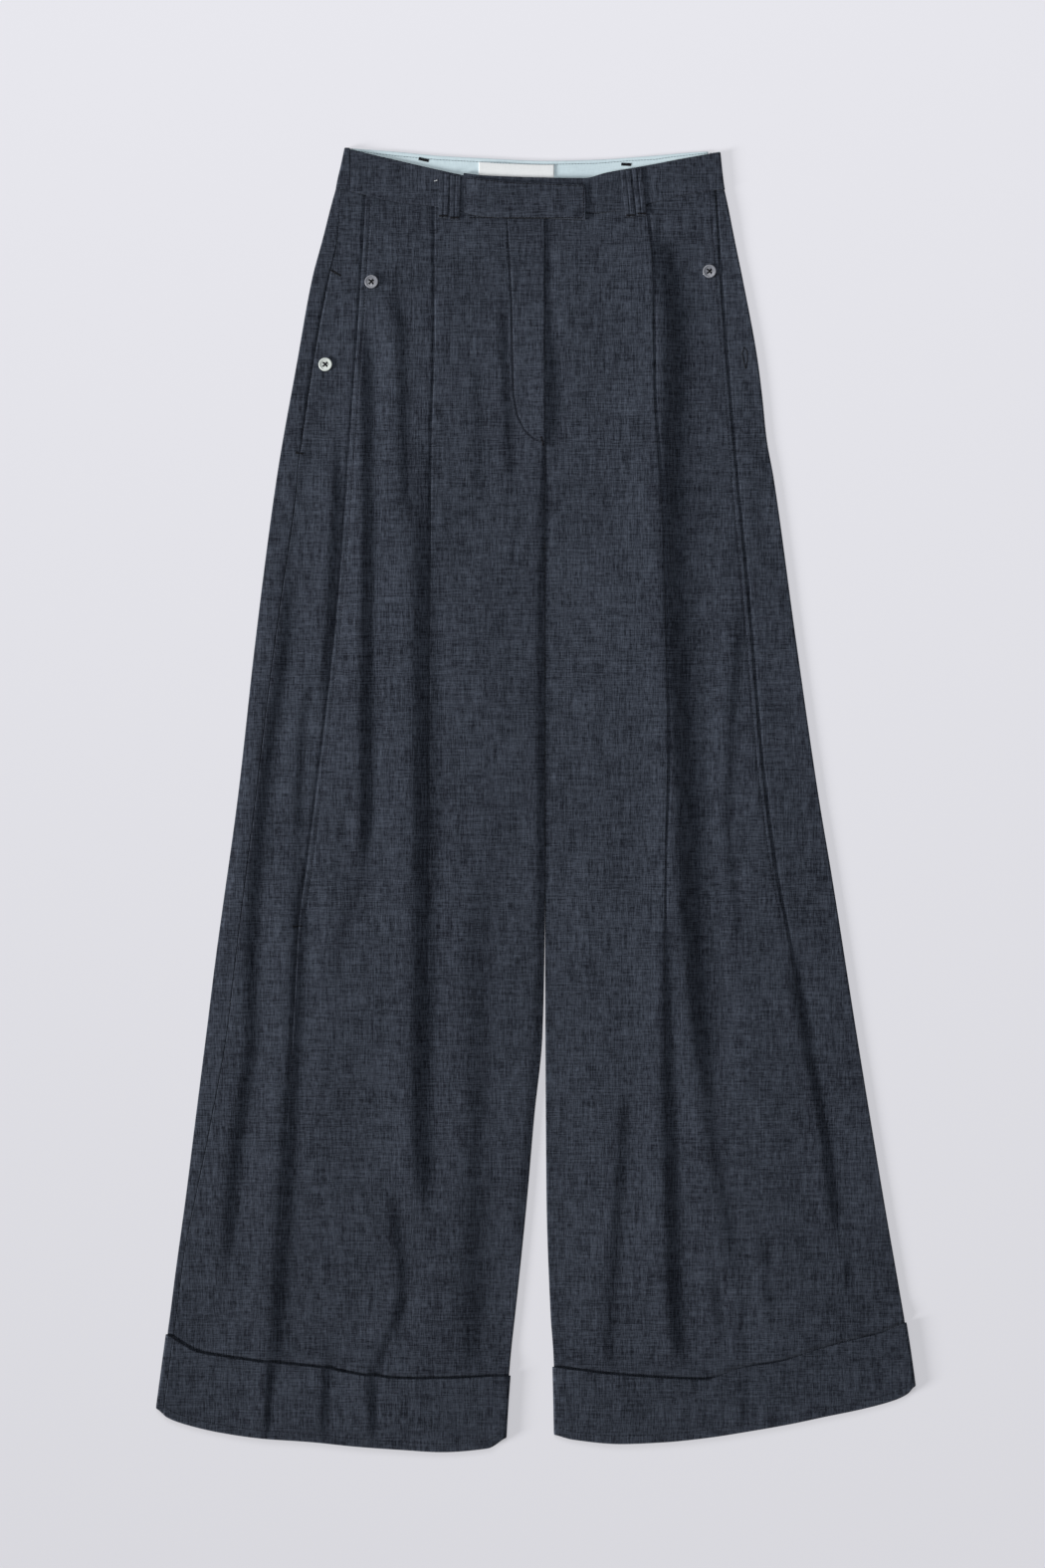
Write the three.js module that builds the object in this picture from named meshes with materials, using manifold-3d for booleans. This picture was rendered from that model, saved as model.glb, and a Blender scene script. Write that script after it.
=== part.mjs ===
// Double-pleated wide trousers with turn-ups, laid flat with the front up. Sizes are in millimetres.
// +Z is up and the waist is towards +Y. Left and right are the wearer's, so the right leg has negative x.
import * as THREE from "three";
import { mergeVertices } from "three/addons/utils/BufferGeometryUtils.js";
import Module from "manifold-3d";

const wasm = await Module();
wasm.setup();

// Driving dimensions
const cloth = 1.0; // wall of one layer
const air = 0.4; // space between two layers that lie on each other
const ply = cloth + air;
const seamGap = 0.3; // space between two pieces at the seam that joins them
const foldRadius = 1.2; // middle of the wall at the outer and inner folds of the flattened legs
const bandWall = 1.6; // front waistband, a doubled layer
const bandLevel = 3.9; // middle of the front waistband above the surface it lies on
const underLevel = 4.8; // the part of the left waistband that runs on under the tab
const tabLevel = 6.7; // the tab that laps over it
const cuffShare = 0.94; // share of a leg's length at the top of the turn-up
const hemShare = 0.00092; // share of a leg's length that one millimetre takes near the hem
const crotchShare = 0.25; // share at which the two legs part
const partShare = 0.022; // length over which the inner edges of a leg roll in below the crotch
const sideUnder = 10; // how far the left front runs round to the underside
const rollUnder = 3; // how far the inner edge of a front runs on under its own roll
const pleatRamps = { outer: 17, inner: 11 }; // cloth that sinks before a pleat and falls after it
const fadeLength = 60; // length over which a soft fold starts and ends
const waistFade = 45; // length over which a front comes down from the waistband
const loopWidth = 9;
const buttonSize = { radius: 5.85, rim: 0.8, height: 2.4, dish: 0.7, hole: 0.8, spread: 1.3 };

const colours = {
  chambray: 0x343a46,
  facing: 0xcfe4e6,
  label: 0xe9e8de,
  greyButton: 0x6f7178,
  creamButton: 0xcfcdc4,
};

const { PI, sin, cos, min, max } = Math;
const { lerp: mix, clamp, degToRad } = THREE.MathUtils;
const ease = (t) => THREE.MathUtils.smoothstep(t, 0, 1);

// Rows of numbers under the names of their columns.
function table(names, rows) {
  const keys = names.split(" ");
  return rows.map((row) => Object.fromEntries(keys.map((key, i) => [key, row[i]])));
}

// The value of one column where another one has the given value, on a smooth curve through the rows.
function at(rows, where, value, key = "y") {
  const last = rows.length - 1;
  const sign = Math.sign(rows[last][key] - rows[0][key]);
  let i = 0;
  while (i < last - 1 && sign * where > sign * rows[i + 1][key]) i += 1;
  const slope = (a) => (rows[a + 1][value] - rows[a][value]) / (rows[a + 1][key] - rows[a][key]);
  const shared = (a, b) => (a * b > 0 ? (2 * a * b) / (a + b) : 0);
  const here = slope(i);
  const before = i > 0 ? shared(slope(i - 1), here) : here;
  const after = i < last - 1 ? shared(here, slope(i + 1)) : here;
  const span = rows[i + 1][key] - rows[i][key];
  const t = clamp((where - rows[i][key]) / span, 0, 1);
  const stay = t * t * (3 - 2 * t);
  return mix(rows[i][value], rows[i + 1][value], stay)
    + span * t * (1 - t) * ((1 - t) * before - t * after);
}

// Each leg: its outline by height, its cut edges from the inner edge (0) to the outer fold (1), its two
// pleats from the outer one to the inner one, and its soft folds in the three fields between them.
// A pleat's row gives its folded edge, the width hidden under it, how far the cloth turns (180 is folded
// flat) and the height of its step. A soft fold's place is a share of its field, at its top and bottom.
const rightLeg = {
  out: -1,
  outline: table("y outer inner", [
    [530, -168, 8.05],
    [519, -174.6, 8.05],
    [484, -183.2, 8.05],
    [450, -192.6, 8.05],
    [381, -205.5, 8.05],
    [278, -223.6, 8.05],
    [140, -241.7, 8],
    [3, -257.1, 8],
    [-135, -276.1, 7.6],
    [-204, -284.7, 6],
    [-272, -293.3, -0.9],
    [-341, -301.9, -6.9],
    [-410, -311.3, -13.8],
    [-444, -315.6, -17.5],
    [-479, -320.3, -21.3],
    [-527, -326.7, -25],
    [-563, -331, -27],
  ]),
  wrap: table("y width", [
    [530, 4.3],
    [458, 16],
    [390, 14],
    [300, 16],
    [165, 13.5],
    [3, 14],
    [-185, 17],
    [-270, 13],
    [-398, 5],
    [-560, 5],
  ]),
  edges: table("across seam back cuff hem", [
    [0, 501.5, 517.3, -497, -551],
    [0.05, 501.6, 517.5, -497.5, -560],
    [0.18, 501.8, 518, -499, -563],
    [0.3, 503, 518.6, -499.4, -561],
    [0.42, 508, 520, -496.5, -558.5],
    [0.56, 512.8, 521.7, -489.5, -554.3],
    [0.7, 515.5, 523.3, -485.5, -551.3],
    [0.82, 520, 525, -481, -546.2],
    [0.91, 524, 526.4, -476.5, -540],
    [0.97, 526.5, 527, -467, -533.5],
    [1, 527.4, 527.4, -461, -525.5],
  ]),
  waistRise: table("x rise", [
    [-170, 0.8],
    [-66, 0.8],
    [-46, 1.9],
    [8, 1.9],
  ]),
  pleats: [
    table("y x lap turn rise", [
      [527, -147, 6, 180, 2.8],
      [448, -152.2, 7, 180, 2.8],
      [316, -161.7, 11, 180, 2.8],
      [206, -169.4, 17, 180, 2.8],
      [82, -181.5, 27, 180, 2.8],
      [-48, -196.9, 38, 180, 2.8],
      [-109, -204.2, 36, 180, 2.8],
      [-174, -207.3, 14, 180, 2.8],
      [-222, -210, 0.8, 180, 2.8],
      [-307, -215.9, 0.6, 80, 2.3],
      [-419, -223.6, 0.6, 36, 1.7],
      [-500, -227.5, 0.6, 22, 1.2],
    ]),
    table("y x lap turn rise", [
      [515, -87, 20, 180, 2.8],
      [404, -87, 17, 180, 2.8],
      [300, -89.6, 12, 180, 2.8],
      [206, -90.3, 6, 180, 2.8],
      [120, -91, 0.8, 180, 2.8],
      [40, -91.2, 0.6, 140, 2.7],
      [-42, -91.2, 0.6, 100, 2.5],
      [-135, -92, 0.6, 70, 2.3],
      [-270, -98, 0.6, 45, 1.9],
      [-400, -99, 0.6, 28, 1.3],
      [-500, -100, 0.6, 16, 0.8],
    ]),
  ],
  folds: table("field top bottom start end height", [
    [0, 300, -410, 0.05, 0.6, -1.0],
    [0, 190, -480, 0.5, 0.85, 0.9],
    [1, 380, -470, 0.45, 0.5, 1.0],
    [2, 120, -490, 0.15, 0.25, 0.7],
    [2, -90, -500, 0.42, 0.58, -0.9],
    [2, 200, -490, 0.75, 0.82, 0.8],
  ]),
};

const leftLeg = {
  out: 1,
  outline: table("y outer inner", [
    [530, 161.8, 8.35],
    [519, 164.3, 8.35],
    [484, 171.1, 8.35],
    [450, 178, 8.35],
    [381, 190.9, 8.35],
    [347, 195.2, 8.35],
    [312, 198.7, 8.35],
    [278, 204.7, 8.35],
    [140, 223.6, 8.5],
    [3, 243.4, 8.5],
    [-66, 255.4, 8.6],
    [-204, 276.9, 8.6],
    [-341, 299.3, 9.5],
    [-444, 317.3, 13],
    [-479, 322.5, 15.5],
    [-510, 326.8, 16.5],
    [-560, 333, 17.5],
  ]),
  edges: table("across seam back cuff hem", [
    [0, 503, 517.3, -489.5, -548.5],
    [0.05, 503.5, 517.4, -491.5, -552.5],
    [0.18, 505.5, 517.7, -496, -556],
    [0.3, 506.3, 518.2, -498.5, -554.5],
    [0.42, 509, 519.5, -500, -550.7],
    [0.54, 512.5, 521, -489.5, -545],
    [0.65, 517, 522.5, -484, -539],
    [0.75, 520.8, 523.8, -474, -532.5],
    [0.85, 523.7, 525, -466, -526.2],
    [0.94, 525.6, 526, -459, -518.8],
    [0.98, 526.3, 526.4, -453.5, -513],
    [1, 526.5, 526.5, -451, -506],
  ]),
  waistRise: table("x rise", [
    [0, 0.8],
    [170, 0.8],
  ]),
  pleats: [
    table("y x lap turn rise", [
      [527, 155, 6, 180, 2.8],
      [446, 160, 7, 180, 2.8],
      [321, 169.4, 9, 180, 2.8],
      [159, 183.2, 12, 180, 2.8],
      [35, 194.4, 22, 180, 2.8],
      [-57, 206.4, 30, 180, 2.8],
      [-118, 218, 30, 180, 2.8],
      [-165, 226, 12, 180, 2.8],
      [-200, 232, 0.8, 180, 2.8],
      [-265, 247, 0.6, 80, 2.3],
      [-342, 259, 0.6, 40, 1.7],
      [-500, 268, 0.6, 18, 0.8],
    ]),
    table("y x lap turn rise", [
      [515, 95.5, 20, 180, 2.8],
      [461, 101, 19, 180, 2.8],
      [356, 102.3, 15, 180, 2.8],
      [237, 109.2, 8, 180, 2.8],
      [120, 111.4, 0.8, 180, 2.8],
      [40, 112.6, 0.6, 140, 2.7],
      [-42, 110.9, 0.6, 100, 2.4],
      [-131, 110.9, 0.6, 65, 2.0],
      [-270, 113, 0.6, 40, 1.5],
      [-442, 116, 0.6, 20, 0.9],
      [-500, 117, 0.6, 12, 0.6],
    ]),
  ],
  folds: table("field top bottom start end height", [
    [0, 250, -480, 0.4, 0.5, 0.8],
    [1, 430, -480, 0.45, 0.5, 0.9],
    [1, 490, -450, 0.85, 0.72, -1.2],
    [2, 200, -480, 0.2, 0.25, 0.8],
    [2, -240, -500, 0.45, 0.5, -0.7],
    [2, 200, -480, 0.75, 0.78, 0.8],
  ]),
};

// A waist edge of a leg by its place across the garment.
function waistEdge(leg, name) {
  const { [name]: innerEnd } = leg.edges[0];
  const { [name]: outerEnd } = leg.edges.at(-1);
  const inner = at(leg.outline, innerEnd, "inner");
  const outer = at(leg.outline, outerEnd, "outer");
  return leg.edges.map((row) => ({ x: mix(inner, outer, row.across), y: row[name] }));
}

// Edges of the waistband: the front dips below the back, so the inside of the back shows above it.
const frontTop = table("x y", [
  [-164.3, 562.7],
  [-148, 558.4],
  [-118.7, 551.5],
  [-89.4, 544.7],
  [-50.7, 536.9],
  [-20, 533.4],
  [10, 532.2],
  [43, 530.6],
]);
const frontSeam = [...waistEdge(rightLeg, "seam").reverse(), { x: 43, y: 500 }];
const underTop = table("x y", [
  [-44, 538.6],
  [0, 537],
  [43, 536.5],
  [60, 541.2],
  [97.2, 548.1],
  [126.4, 555],
  [159.5, 559.6],
]);
const underSeam = [
  { x: -44, y: 506 },
  { x: 20, y: 506 },
  ...waistEdge(leftLeg, "seam").filter(({ x }) => x > 45),
];
const backTop = table("x y", [
  [-164.3, 562.7],
  [-120, 559.3],
  [-85, 556],
  [-50, 554],
  [10, 551.5],
  [52, 552.4],
  [103, 556],
  [145, 559.4],
  [159.5, 559.8],
]);
const backSeam = [...waistEdge(rightLeg, "back").reverse(), ...waistEdge(leftLeg, "back")];
const bandSides = table("y right left", [
  [563, -164.3, 159.1],
  [540, -167.2, 160.9],
  [526, -168.8, 163],
]);

// A closed mesh from triangles, turned so that its faces point outwards.
function closedGeometry(positions, index) {
  const point = (i) => new THREE.Vector3().fromArray(positions, 3 * i);
  let volume = 0;
  for (let i = 0; i < index.length; i += 3) {
    volume += point(index[i]).dot(point(index[i + 1]).cross(point(index[i + 2])));
  }
  const geometry = new THREE.BufferGeometry();
  geometry.setAttribute("position", new THREE.Float32BufferAttribute(positions, 3));
  geometry.setIndex(volume < 0 ? index.slice().reverse() : index);
  geometry.computeVertexNormals();
  return geometry;
}

// A wall of cloth over a grid of points { p, n }: n points out of the cloth, and the middle of the wall
// lies the given distance out from the points.
function wall(grid, thickness, shift = 0) {
  const rows = grid.length;
  const columns = grid[0].length;
  const positions = [];
  for (const side of [shift + thickness / 2, shift - thickness / 2]) {
    for (const { p, n } of grid.flat()) positions.push(...p.clone().addScaledVector(n, side).toArray());
  }
  const outer = (i, j) => i * columns + j;
  const inner = (i, j) => rows * columns + i * columns + j;
  const index = [];
  const quad = (a, b, c, d) => index.push(a, b, c, a, c, d);
  for (let i = 0; i < rows - 1; i += 1) {
    for (let j = 0; j < columns - 1; j += 1) {
      quad(outer(i, j), outer(i, j + 1), outer(i + 1, j + 1), outer(i + 1, j));
      quad(inner(i, j), inner(i + 1, j), inner(i + 1, j + 1), inner(i, j + 1));
    }
    quad(outer(i, 0), outer(i + 1, 0), inner(i + 1, 0), inner(i, 0));
    const end = columns - 1;
    quad(outer(i, end), inner(i, end), inner(i + 1, end), outer(i + 1, end));
  }
  for (let j = 0; j < columns - 1; j += 1) {
    const end = rows - 1;
    quad(outer(0, j), inner(0, j), inner(0, j + 1), outer(0, j + 1));
    quad(outer(end, j), outer(end, j + 1), inner(end, j + 1), inner(end, j));
  }
  return closedGeometry(positions, index);
}

// Grid points along a path in a cross-section: w is the distance outwards, and n leans so that the
// wall keeps its thickness at the corners.
function sectionPoints(path, out, height) {
  const heading = (i) => {
    const [a, b] = [path[i], path[i + 1]];
    return new THREE.Vector2(b[0] - a[0], b[1] - a[1]).normalize();
  };
  return path.map(([w, z], i) => {
    const before = heading(max(i - 1, 0));
    const after = heading(min(i, path.length - 2));
    const middle = before.clone().add(after).normalize();
    const lean = 1 / max(middle.dot(after), 0.5);
    const n = new THREE.Vector3(out * middle.y * lean, 0, -middle.x * lean);
    return { p: new THREE.Vector3(out * w, height(w), z), n };
  });
}

// Points from a start, each a length and an angle further; w falls towards the middle of the garment.
function walk(start, steps) {
  const path = [start];
  for (const [length, angle] of steps) {
    const [w, z] = path.at(-1);
    path.push([w - length * cos(angle), z + length * sin(angle)]);
  }
  return path;
}

// A flattened outer fold, from the layer underneath up to the layer on top.
function outerRoll(outer, low, high, thickness) {
  const radius = (high - low) / 2;
  const middle = outer - radius - thickness / 2;
  return [-90, -30, 30, 90].map(degToRad)
    .map((angle) => [middle + radius * cos(angle), low + radius + radius * sin(angle)]);
}

// One cross-section of a leg, on a line from the inner edge to the outer fold that is bent as the cut
// edges are. `down` goes from the waist seam (0) to the hem (1).
function legRow(leg, down, top = "seam") {
  const edge = (name, across) => at(leg.edges, across, name, "across");
  const heightAcross = (across) =>
    down < cuffShare
      ? mix(edge(top, across), edge("cuff", across), down / cuffShare)
      : mix(edge("cuff", across), edge("hem", across), (down - cuffShare) / (1 - cuffShare));
  const inner = leg.out * at(leg.outline, heightAcross(0), "inner");
  const outer = leg.out * at(leg.outline, heightAcross(1), "outer");
  const height = (w) => heightAcross(clamp((w - inner) / (outer - inner), 0, 1));
  const floor = cloth / 2 + ply * ease((down - cuffShare + 0.022) / 0.019);
  const sunk = (w) => 1 - ease((height(w) - at(leg.edges, 0.5, top, "across")) / -waistFade);
  const level = (w) => {
    const rise = at(leg.waistRise, leg.out * w, "rise", "x");
    return floor + 2 * foldRadius + rise * sunk(w);
  };
  return { leg, down, inner, outer, height, floor, level };
}

// A pleat's points: the cloth sinks towards it, runs under its edge, turns back, turns again at the edge
// and falls back to its level past the hidden layers.
function pleatPath(row, rows, room) {
  const { leg, height, level, floor } = row;
  let edge = leg.out * at(rows, height(row.inner), "x");
  for (let i = 0; i < 4; i += 1) edge = leg.out * at(rows, height(edge), "x");
  const y = height(edge);
  const { lap, turn, rise } = Object.fromEntries(["lap", "turn", "rise"].map((k) => [k, at(rows, y, k)]));
  const angle = degToRad(turn);
  const half = (rise - lap * sin(angle)) / (2 * (sin(angle / 4) + sin((3 * angle) / 4)));
  const low = max(floor + ply, level(edge) - 0.65 * rise);
  const steps = [
    [half, angle / 4],
    [half, (3 * angle) / 4],
    [lap, angle],
    [half, (3 * angle) / 4],
    [half, angle / 4],
  ];
  const turns = walk([0, low], steps);
  const shift = edge - cloth / 2 - turns[4][0];
  const folded = turns.map(([w, z]) => [w + shift, z]);
  const mouth = max(edge, folded[0][0]);
  const sink = min(pleatRamps.outer, 0.6 * (room - mouth));
  const outside = mouth + sink;
  const covered = min(folded[0][0], folded[5][0]) - ply;
  const inside = covered - pleatRamps.inner;
  const before = [
    [outside, level(outside)],
    [mouth + 0.45 * sink, mix(low, level(outside), 0.35)],
    [mouth + min(1.5, 0.25 * sink), low],
  ];
  const after = [
    [covered, folded[5][1]],
    [mix(covered, inside, 0.5), mix(folded[5][1], level(inside), 0.5)],
    [inside, level(inside)],
  ];
  return [...before, ...folded, ...after];
}

// The soft folds of one field between two places, as points of the cross-section.
function foldPath(row, field, from, to) {
  return row.leg.folds
    .filter((fold) => fold.field === field)
    .map(({ top, bottom, start, end, height }) => {
      const y = row.height(mix(from, to, (start + end) / 2));
      const w = mix(from, to, mix(start, end, clamp((top - y) / (top - bottom), 0, 1)));
      const strength = ease((top - y) / fadeLength) * ease((y - bottom) / fadeLength);
      return [w, row.level(w) + height * strength];
    });
}

// The inner edge of a front: straight at the centre seam, and rolled round to the underside below the
// crotch.
function innerPath(row) {
  const turn = PI * ease((row.down - crotchShare) / partShare);
  const drop = row.level(row.inner) - row.floor;
  const lengths = [drop / 2, drop / 2, drop / 2, rollUnder];
  const angles = [-turn / 6, -turn / 2, (-5 * turn) / 6, -turn];
  const fall = -lengths.reduce((sum, length, i) => sum + length * sin(angles[i]), 0);
  const scale = turn > 0 ? ((turn / PI) * drop) / fall : 1;
  const steps = lengths.map((length, i) => [scale * length, angles[i]]);
  const path = walk([0, row.level(row.inner)], steps);
  const reach = -min(...path.map(([w]) => w));
  const start = row.inner + reach + (cloth / 2) * sin(turn / 2);
  return path.map(([w, z]) => [w + start, z]);
}

const sideSeam = (row) => row.outer - at(row.leg.wrap, row.height(row.outer), "width");
const legRoll = (row) => outerRoll(row.outer, row.floor, row.level(row.outer), cloth);

function frontGrid(leg, shares) {
  return shares.map((down) => {
    const row = legRow(leg, down);
    const roll = legRoll(row);
    const start = leg.wrap
      ? [[sideSeam(row) - seamGap, row.level(row.outer)]]
      : [[roll[0][0] - sideUnder, row.floor], ...roll];
    const [outerPleat, innerPleat] = leg.pleats.map((rows) => pleatPath(row, rows, start.at(-1)[0]));
    const inner = innerPath(row);
    const path = [
      ...start,
      ...foldPath(row, 0, start.at(-1)[0], outerPleat[0][0]),
      ...outerPleat,
      ...foldPath(row, 1, outerPleat.at(-1)[0], innerPleat[0][0]),
      ...innerPleat,
      ...foldPath(row, 2, innerPleat.at(-1)[0], inner[0][0]),
      ...inner,
    ];
    return sectionPoints(path, leg.out, row.height);
  });
}

function backGrid(leg, shares) {
  return shares.map((down) => {
    const row = legRow(leg, down, "back");
    const parted = ease((down - crotchShare + partShare) / partShare);
    const inner = row.inner + parted * (cloth + foldRadius + rollUnder + seamGap);
    const roll = legRoll(row);
    const flat = roll[0][0] - (leg.wrap ? 0 : sideUnder + seamGap);
    const run = [0, 0.35, 0.7].map((t) => [mix(inner, flat, t), row.floor]);
    const end = leg.wrap
      ? [...roll, [sideSeam(row), row.level(row.outer)]]
      : [[flat, row.floor]];
    return sectionPoints([...run, ...end], leg.out, row.height);
  });
}

// A turn-up, moved out from the panel that it folds up over. Its last row turns in at the hem.
function turnUp(gridOf, leg) {
  const shares = [cuffShare, 0.957, 0.978, 1 - 1.7 * hemShare, 1 - 0.5 * hemShare];
  const grid = gridOf(leg, shares);
  const inwards = grid.at(-1).map(({ p, n }) => ({ p: p.clone().addScaledVector(n, -0.5 * ply), n }));
  return wall([...grid.slice(0, -1), inwards], cloth, ply);
}

const legShares = [
  0, 0.015, 0.05, 0.1, 0.16, 0.21, 0.239, 0.25, 0.261, 0.272, 0.31, 0.37, 0.43, 0.5, 0.56, 0.6, 0.65, 0.71,
  0.78, 0.85, 0.917, 0.927, 0.938, 0.965, 1 - 2.3 * hemShare,
];
const frontShares = legShares.with(0, seamGap * hemShare);

// A waistband between its seam and its top edge, over a path of [w, z] at each of the given shares of
// its depth.
function bandGrid(seam, top, depths, out, pathAt) {
  return depths.map((share) => {
    const height = (w) => mix(at(seam, out * w, "y", "x"), at(top, out * w, "y", "x"), share);
    return sectionPoints(pathAt(share, height), out, height);
  });
}

function bandRight() {
  const columns = [-160, -140, -118, -95, -80, -64, -58, -50, -38, -15, 10, 30, 43];
  return wall(
    bandGrid(frontSeam, frontTop, [0, 0.1, 0.5, 1], -1, (share) => {
      const step = share > 0 ? tabLevel : tabLevel - 1.5;
      return columns.map((x) => [-x, mix(bandLevel, step, ease((x + 66) / 18))]);
    }),
    bandWall,
  );
}

function bandLeft() {
  const columns = [148, 125, 105, 90, 76, 62, 43, 20, 0, -22, -44];
  return wall(
    bandGrid(underSeam, underTop, [0, 0.5, 1], 1, (share, height) => {
      const outer = at(bandSides, height(160), "left");
      const roll = outerRoll(outer, bandWall / 2, bandLevel, bandWall);
      const front = columns.map((x) => [x, mix(bandLevel, underLevel, ease((80 - x) / 30))]);
      return [[roll[0][0] - sideUnder + 2, bandWall / 2], ...roll, ...front];
    }),
    bandWall,
  );
}

function bandBack() {
  return wall(
    bandGrid(backSeam, backTop, [0, 0.5, 1], -1, (share, height) => {
      const outer = -at(bandSides, height(166), "right");
      const roll = outerRoll(outer, cloth / 2, bandLevel, cloth);
      const run = [-148, -110, -60, 0, 60, 120].map((w) => [w, cloth / 2]);
      return [...run, ...roll, [160 + seamGap, bandLevel]];
    }),
    cloth,
  );
}

// A flat strip inside the back waistband, between two places and two shares of its depth.
function insideStrip(from, to, depths, level) {
  const count = 8;
  const columns = Array.from({ length: count + 1 }, (_, i) => mix(from, to, i / count));
  return wall(
    bandGrid(backSeam, backTop, depths, -1, () => columns.map((x) => [-x, level])),
    cloth,
  );
}

const down = new THREE.Vector3(0, 0, -1);

// The highest surface of some meshes over a small patch round a place.
function surfaceOver(meshes, x, y, reach) {
  const offsets = [-1, 0, 1].flatMap((i) => [-1, 0, 1].map((j) => [i * reach.x, j * reach.y]));
  const hits = offsets.flatMap(([dx, dy]) => {
    const ray = new THREE.Raycaster(new THREE.Vector3(x + dx, y + dy, 50), down);
    return ray.intersectObjects(meshes).map((hit) => hit.point.z);
  });
  return max(...hits);
}

// The fly: its curved outer edge, its straight opening edge and the cloth that it lies on.
const flyShape = table("y outer opening", [
  [501.2, -26.5, 7.6],
  [470, -24.5, 7.6],
  [430, -22.5, 7.6],
  [390, -21.7, 7.6],
  [350, -20.5, 7.6],
  [330, -17, 7.6],
  [317, -10.5, 7.6],
  [309, -1, 7.6],
  [306.5, 5, 7.6],
]);

function flyPlacket(under) {
  const grid = flyShape.map(({ y, outer, opening }) =>
    [0, 0.33, 0.66, 1].map((t) => {
      const x = mix(outer, opening, t);
      const z = surfaceOver(under, x, y, { x: 1, y: 1 }) + air;
      return { p: new THREE.Vector3(x, y, z), n: new THREE.Vector3(0, 0, 1) };
    }),
  );
  return wall(grid, cloth, cloth / 2);
}

// Belt loops, each from its top to its bottom end, over the waistband and the top of the pleat.
const loops = table("topX topY bottomX bottomY", [
  [-78.6, 540.6, -79.6, 501.8],
  [-68.8, 538.4, -69.8, 500.2],
  [77.6, 543.2, 82, 502.4],
  [87.6, 544.6, 91.6, 503.8],
]);

function beltLoop({ topX, topY, bottomX, bottomY }, under) {
  const grid = [0, 0.2, 0.4, 0.6, 0.75, 0.9, 1].map((t) => {
    const x = mix(topX, bottomX, t);
    const y = mix(topY, bottomY, t);
    const z = surfaceOver(under, x, y, { x: loopWidth / 2, y: 4 }) + air;
    const across = [-0.5, 0.5].map((side) => side * loopWidth * mix(1, 0.94, t));
    return across.map((dx) => ({ p: new THREE.Vector3(x + dx, y, z), n: new THREE.Vector3(0, 0, 1) }));
  });
  return wall(grid, cloth, cloth / 2);
}

// A solid for cutting: the mesh with its shared corners merged.
function solidOf(geometry) {
  const bare = geometry.clone();
  bare.deleteAttribute("normal");
  bare.deleteAttribute("uv");
  const merged = mergeVertices(bare, 1e-4);
  return new wasm.Manifold(
    new wasm.Mesh({
      numProp: 3,
      vertProperties: merged.attributes.position.array,
      triVerts: new Uint32Array(merged.index.array),
    }),
  );
}

// A four-hole button with a raised rim round its dished middle.
function buttonGeometry() {
  const { radius, rim, height, dish, hole, spread } = buttonSize;
  const profile = [
    [0, 0],
    [radius - 1.2, 0],
    [radius, 0.9],
    [radius, height - 0.5],
    [radius - 0.5, height],
    [radius - rim - 0.5, height],
    [radius - rim - 1.4, height - dish],
    [0, height - dish],
  ];
  const disc = new THREE.LatheGeometry(profile.map(([r, z]) => new THREE.Vector2(r, z)), 20);
  disc.rotateX(PI / 2);
  let solid = solidOf(disc);
  for (const [i, j] of [[1, 1], [1, -1], [-1, 1], [-1, -1]]) {
    const bore = new THREE.CylinderGeometry(hole, hole, 4 * height, 8);
    bore.rotateX(PI / 2);
    bore.translate(i * spread, j * spread, 0);
    solid = solid.subtract(solidOf(bore));
  }
  const { vertProperties, triVerts } = solid.getMesh();
  return closedGeometry(Array.from(vertProperties), Array.from(triVerts));
}

const trousers = new THREE.Group();

function add(name, geometry, color, roughness = 0.9) {
  const mesh = new THREE.Mesh(geometry, new THREE.MeshStandardMaterial({ color, roughness, metalness: 0 }));
  mesh.name = name;
  trousers.add(mesh);
  return mesh;
}

// A button on the cloth under it.
function addButton(name, x, y, color, under) {
  const mesh = add(name, buttonGeometry(), color, 0.35);
  const { radius } = buttonSize;
  mesh.position.set(x, y, surfaceOver(under, x, y, { x: radius, y: radius }) + air);
}

const frontRight = add("front_right", wall(frontGrid(rightLeg, frontShares), cloth), colours.chambray);
const frontLeft = add("front_left", wall(frontGrid(leftLeg, frontShares), cloth), colours.chambray);
add("back_right", wall(backGrid(rightLeg, frontShares), cloth), colours.chambray);
add("back_left", wall(backGrid(leftLeg, frontShares), cloth), colours.chambray);
add("turnup_front_right", turnUp(frontGrid, rightLeg), colours.chambray);
add("turnup_front_left", turnUp(frontGrid, leftLeg), colours.chambray);
add("turnup_back_right", turnUp(backGrid, rightLeg), colours.chambray);
add("turnup_back_left", turnUp(backGrid, leftLeg), colours.chambray);

const bandOnRight = add("band_right", bandRight(), colours.chambray);
const bandOnLeft = add("band_left", bandLeft(), colours.chambray);
add("band_back", bandBack(), colours.chambray);
add("band_facing", insideStrip(-158, 149, [0.03, 1], cloth / 2 + cloth + seamGap), colours.facing);
add("label_patch", insideStrip(-49, 16, [0.1, 0.9], cloth / 2 + 2 * (cloth + seamGap)), colours.label);

add("fly_placket", flyPlacket([frontRight]), colours.chambray);
loops.forEach((loop, i) => {
  const side = loop.topX < 0 ? "right" : "left";
  const under = [frontRight, frontLeft, bandOnRight, bandOnLeft];
  add(`loop_${side}_${(i % 2) + 1}`, beltLoop(loop, under), colours.chambray);
});

addButton("button_front_right", -141.9, 447.5, colours.greyButton, [frontRight]);
addButton("button_front_left", 150.5, 456.9, colours.greyButton, [frontLeft]);
addButton("button_pocket", -182.3, 376.1, colours.creamButton, [frontRight]);

export default trousers;
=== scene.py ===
import math
import random
import bpy
import numpy as np
from mathutils import Matrix, Vector
from mathutils.bvhtree import BVHTree


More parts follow.
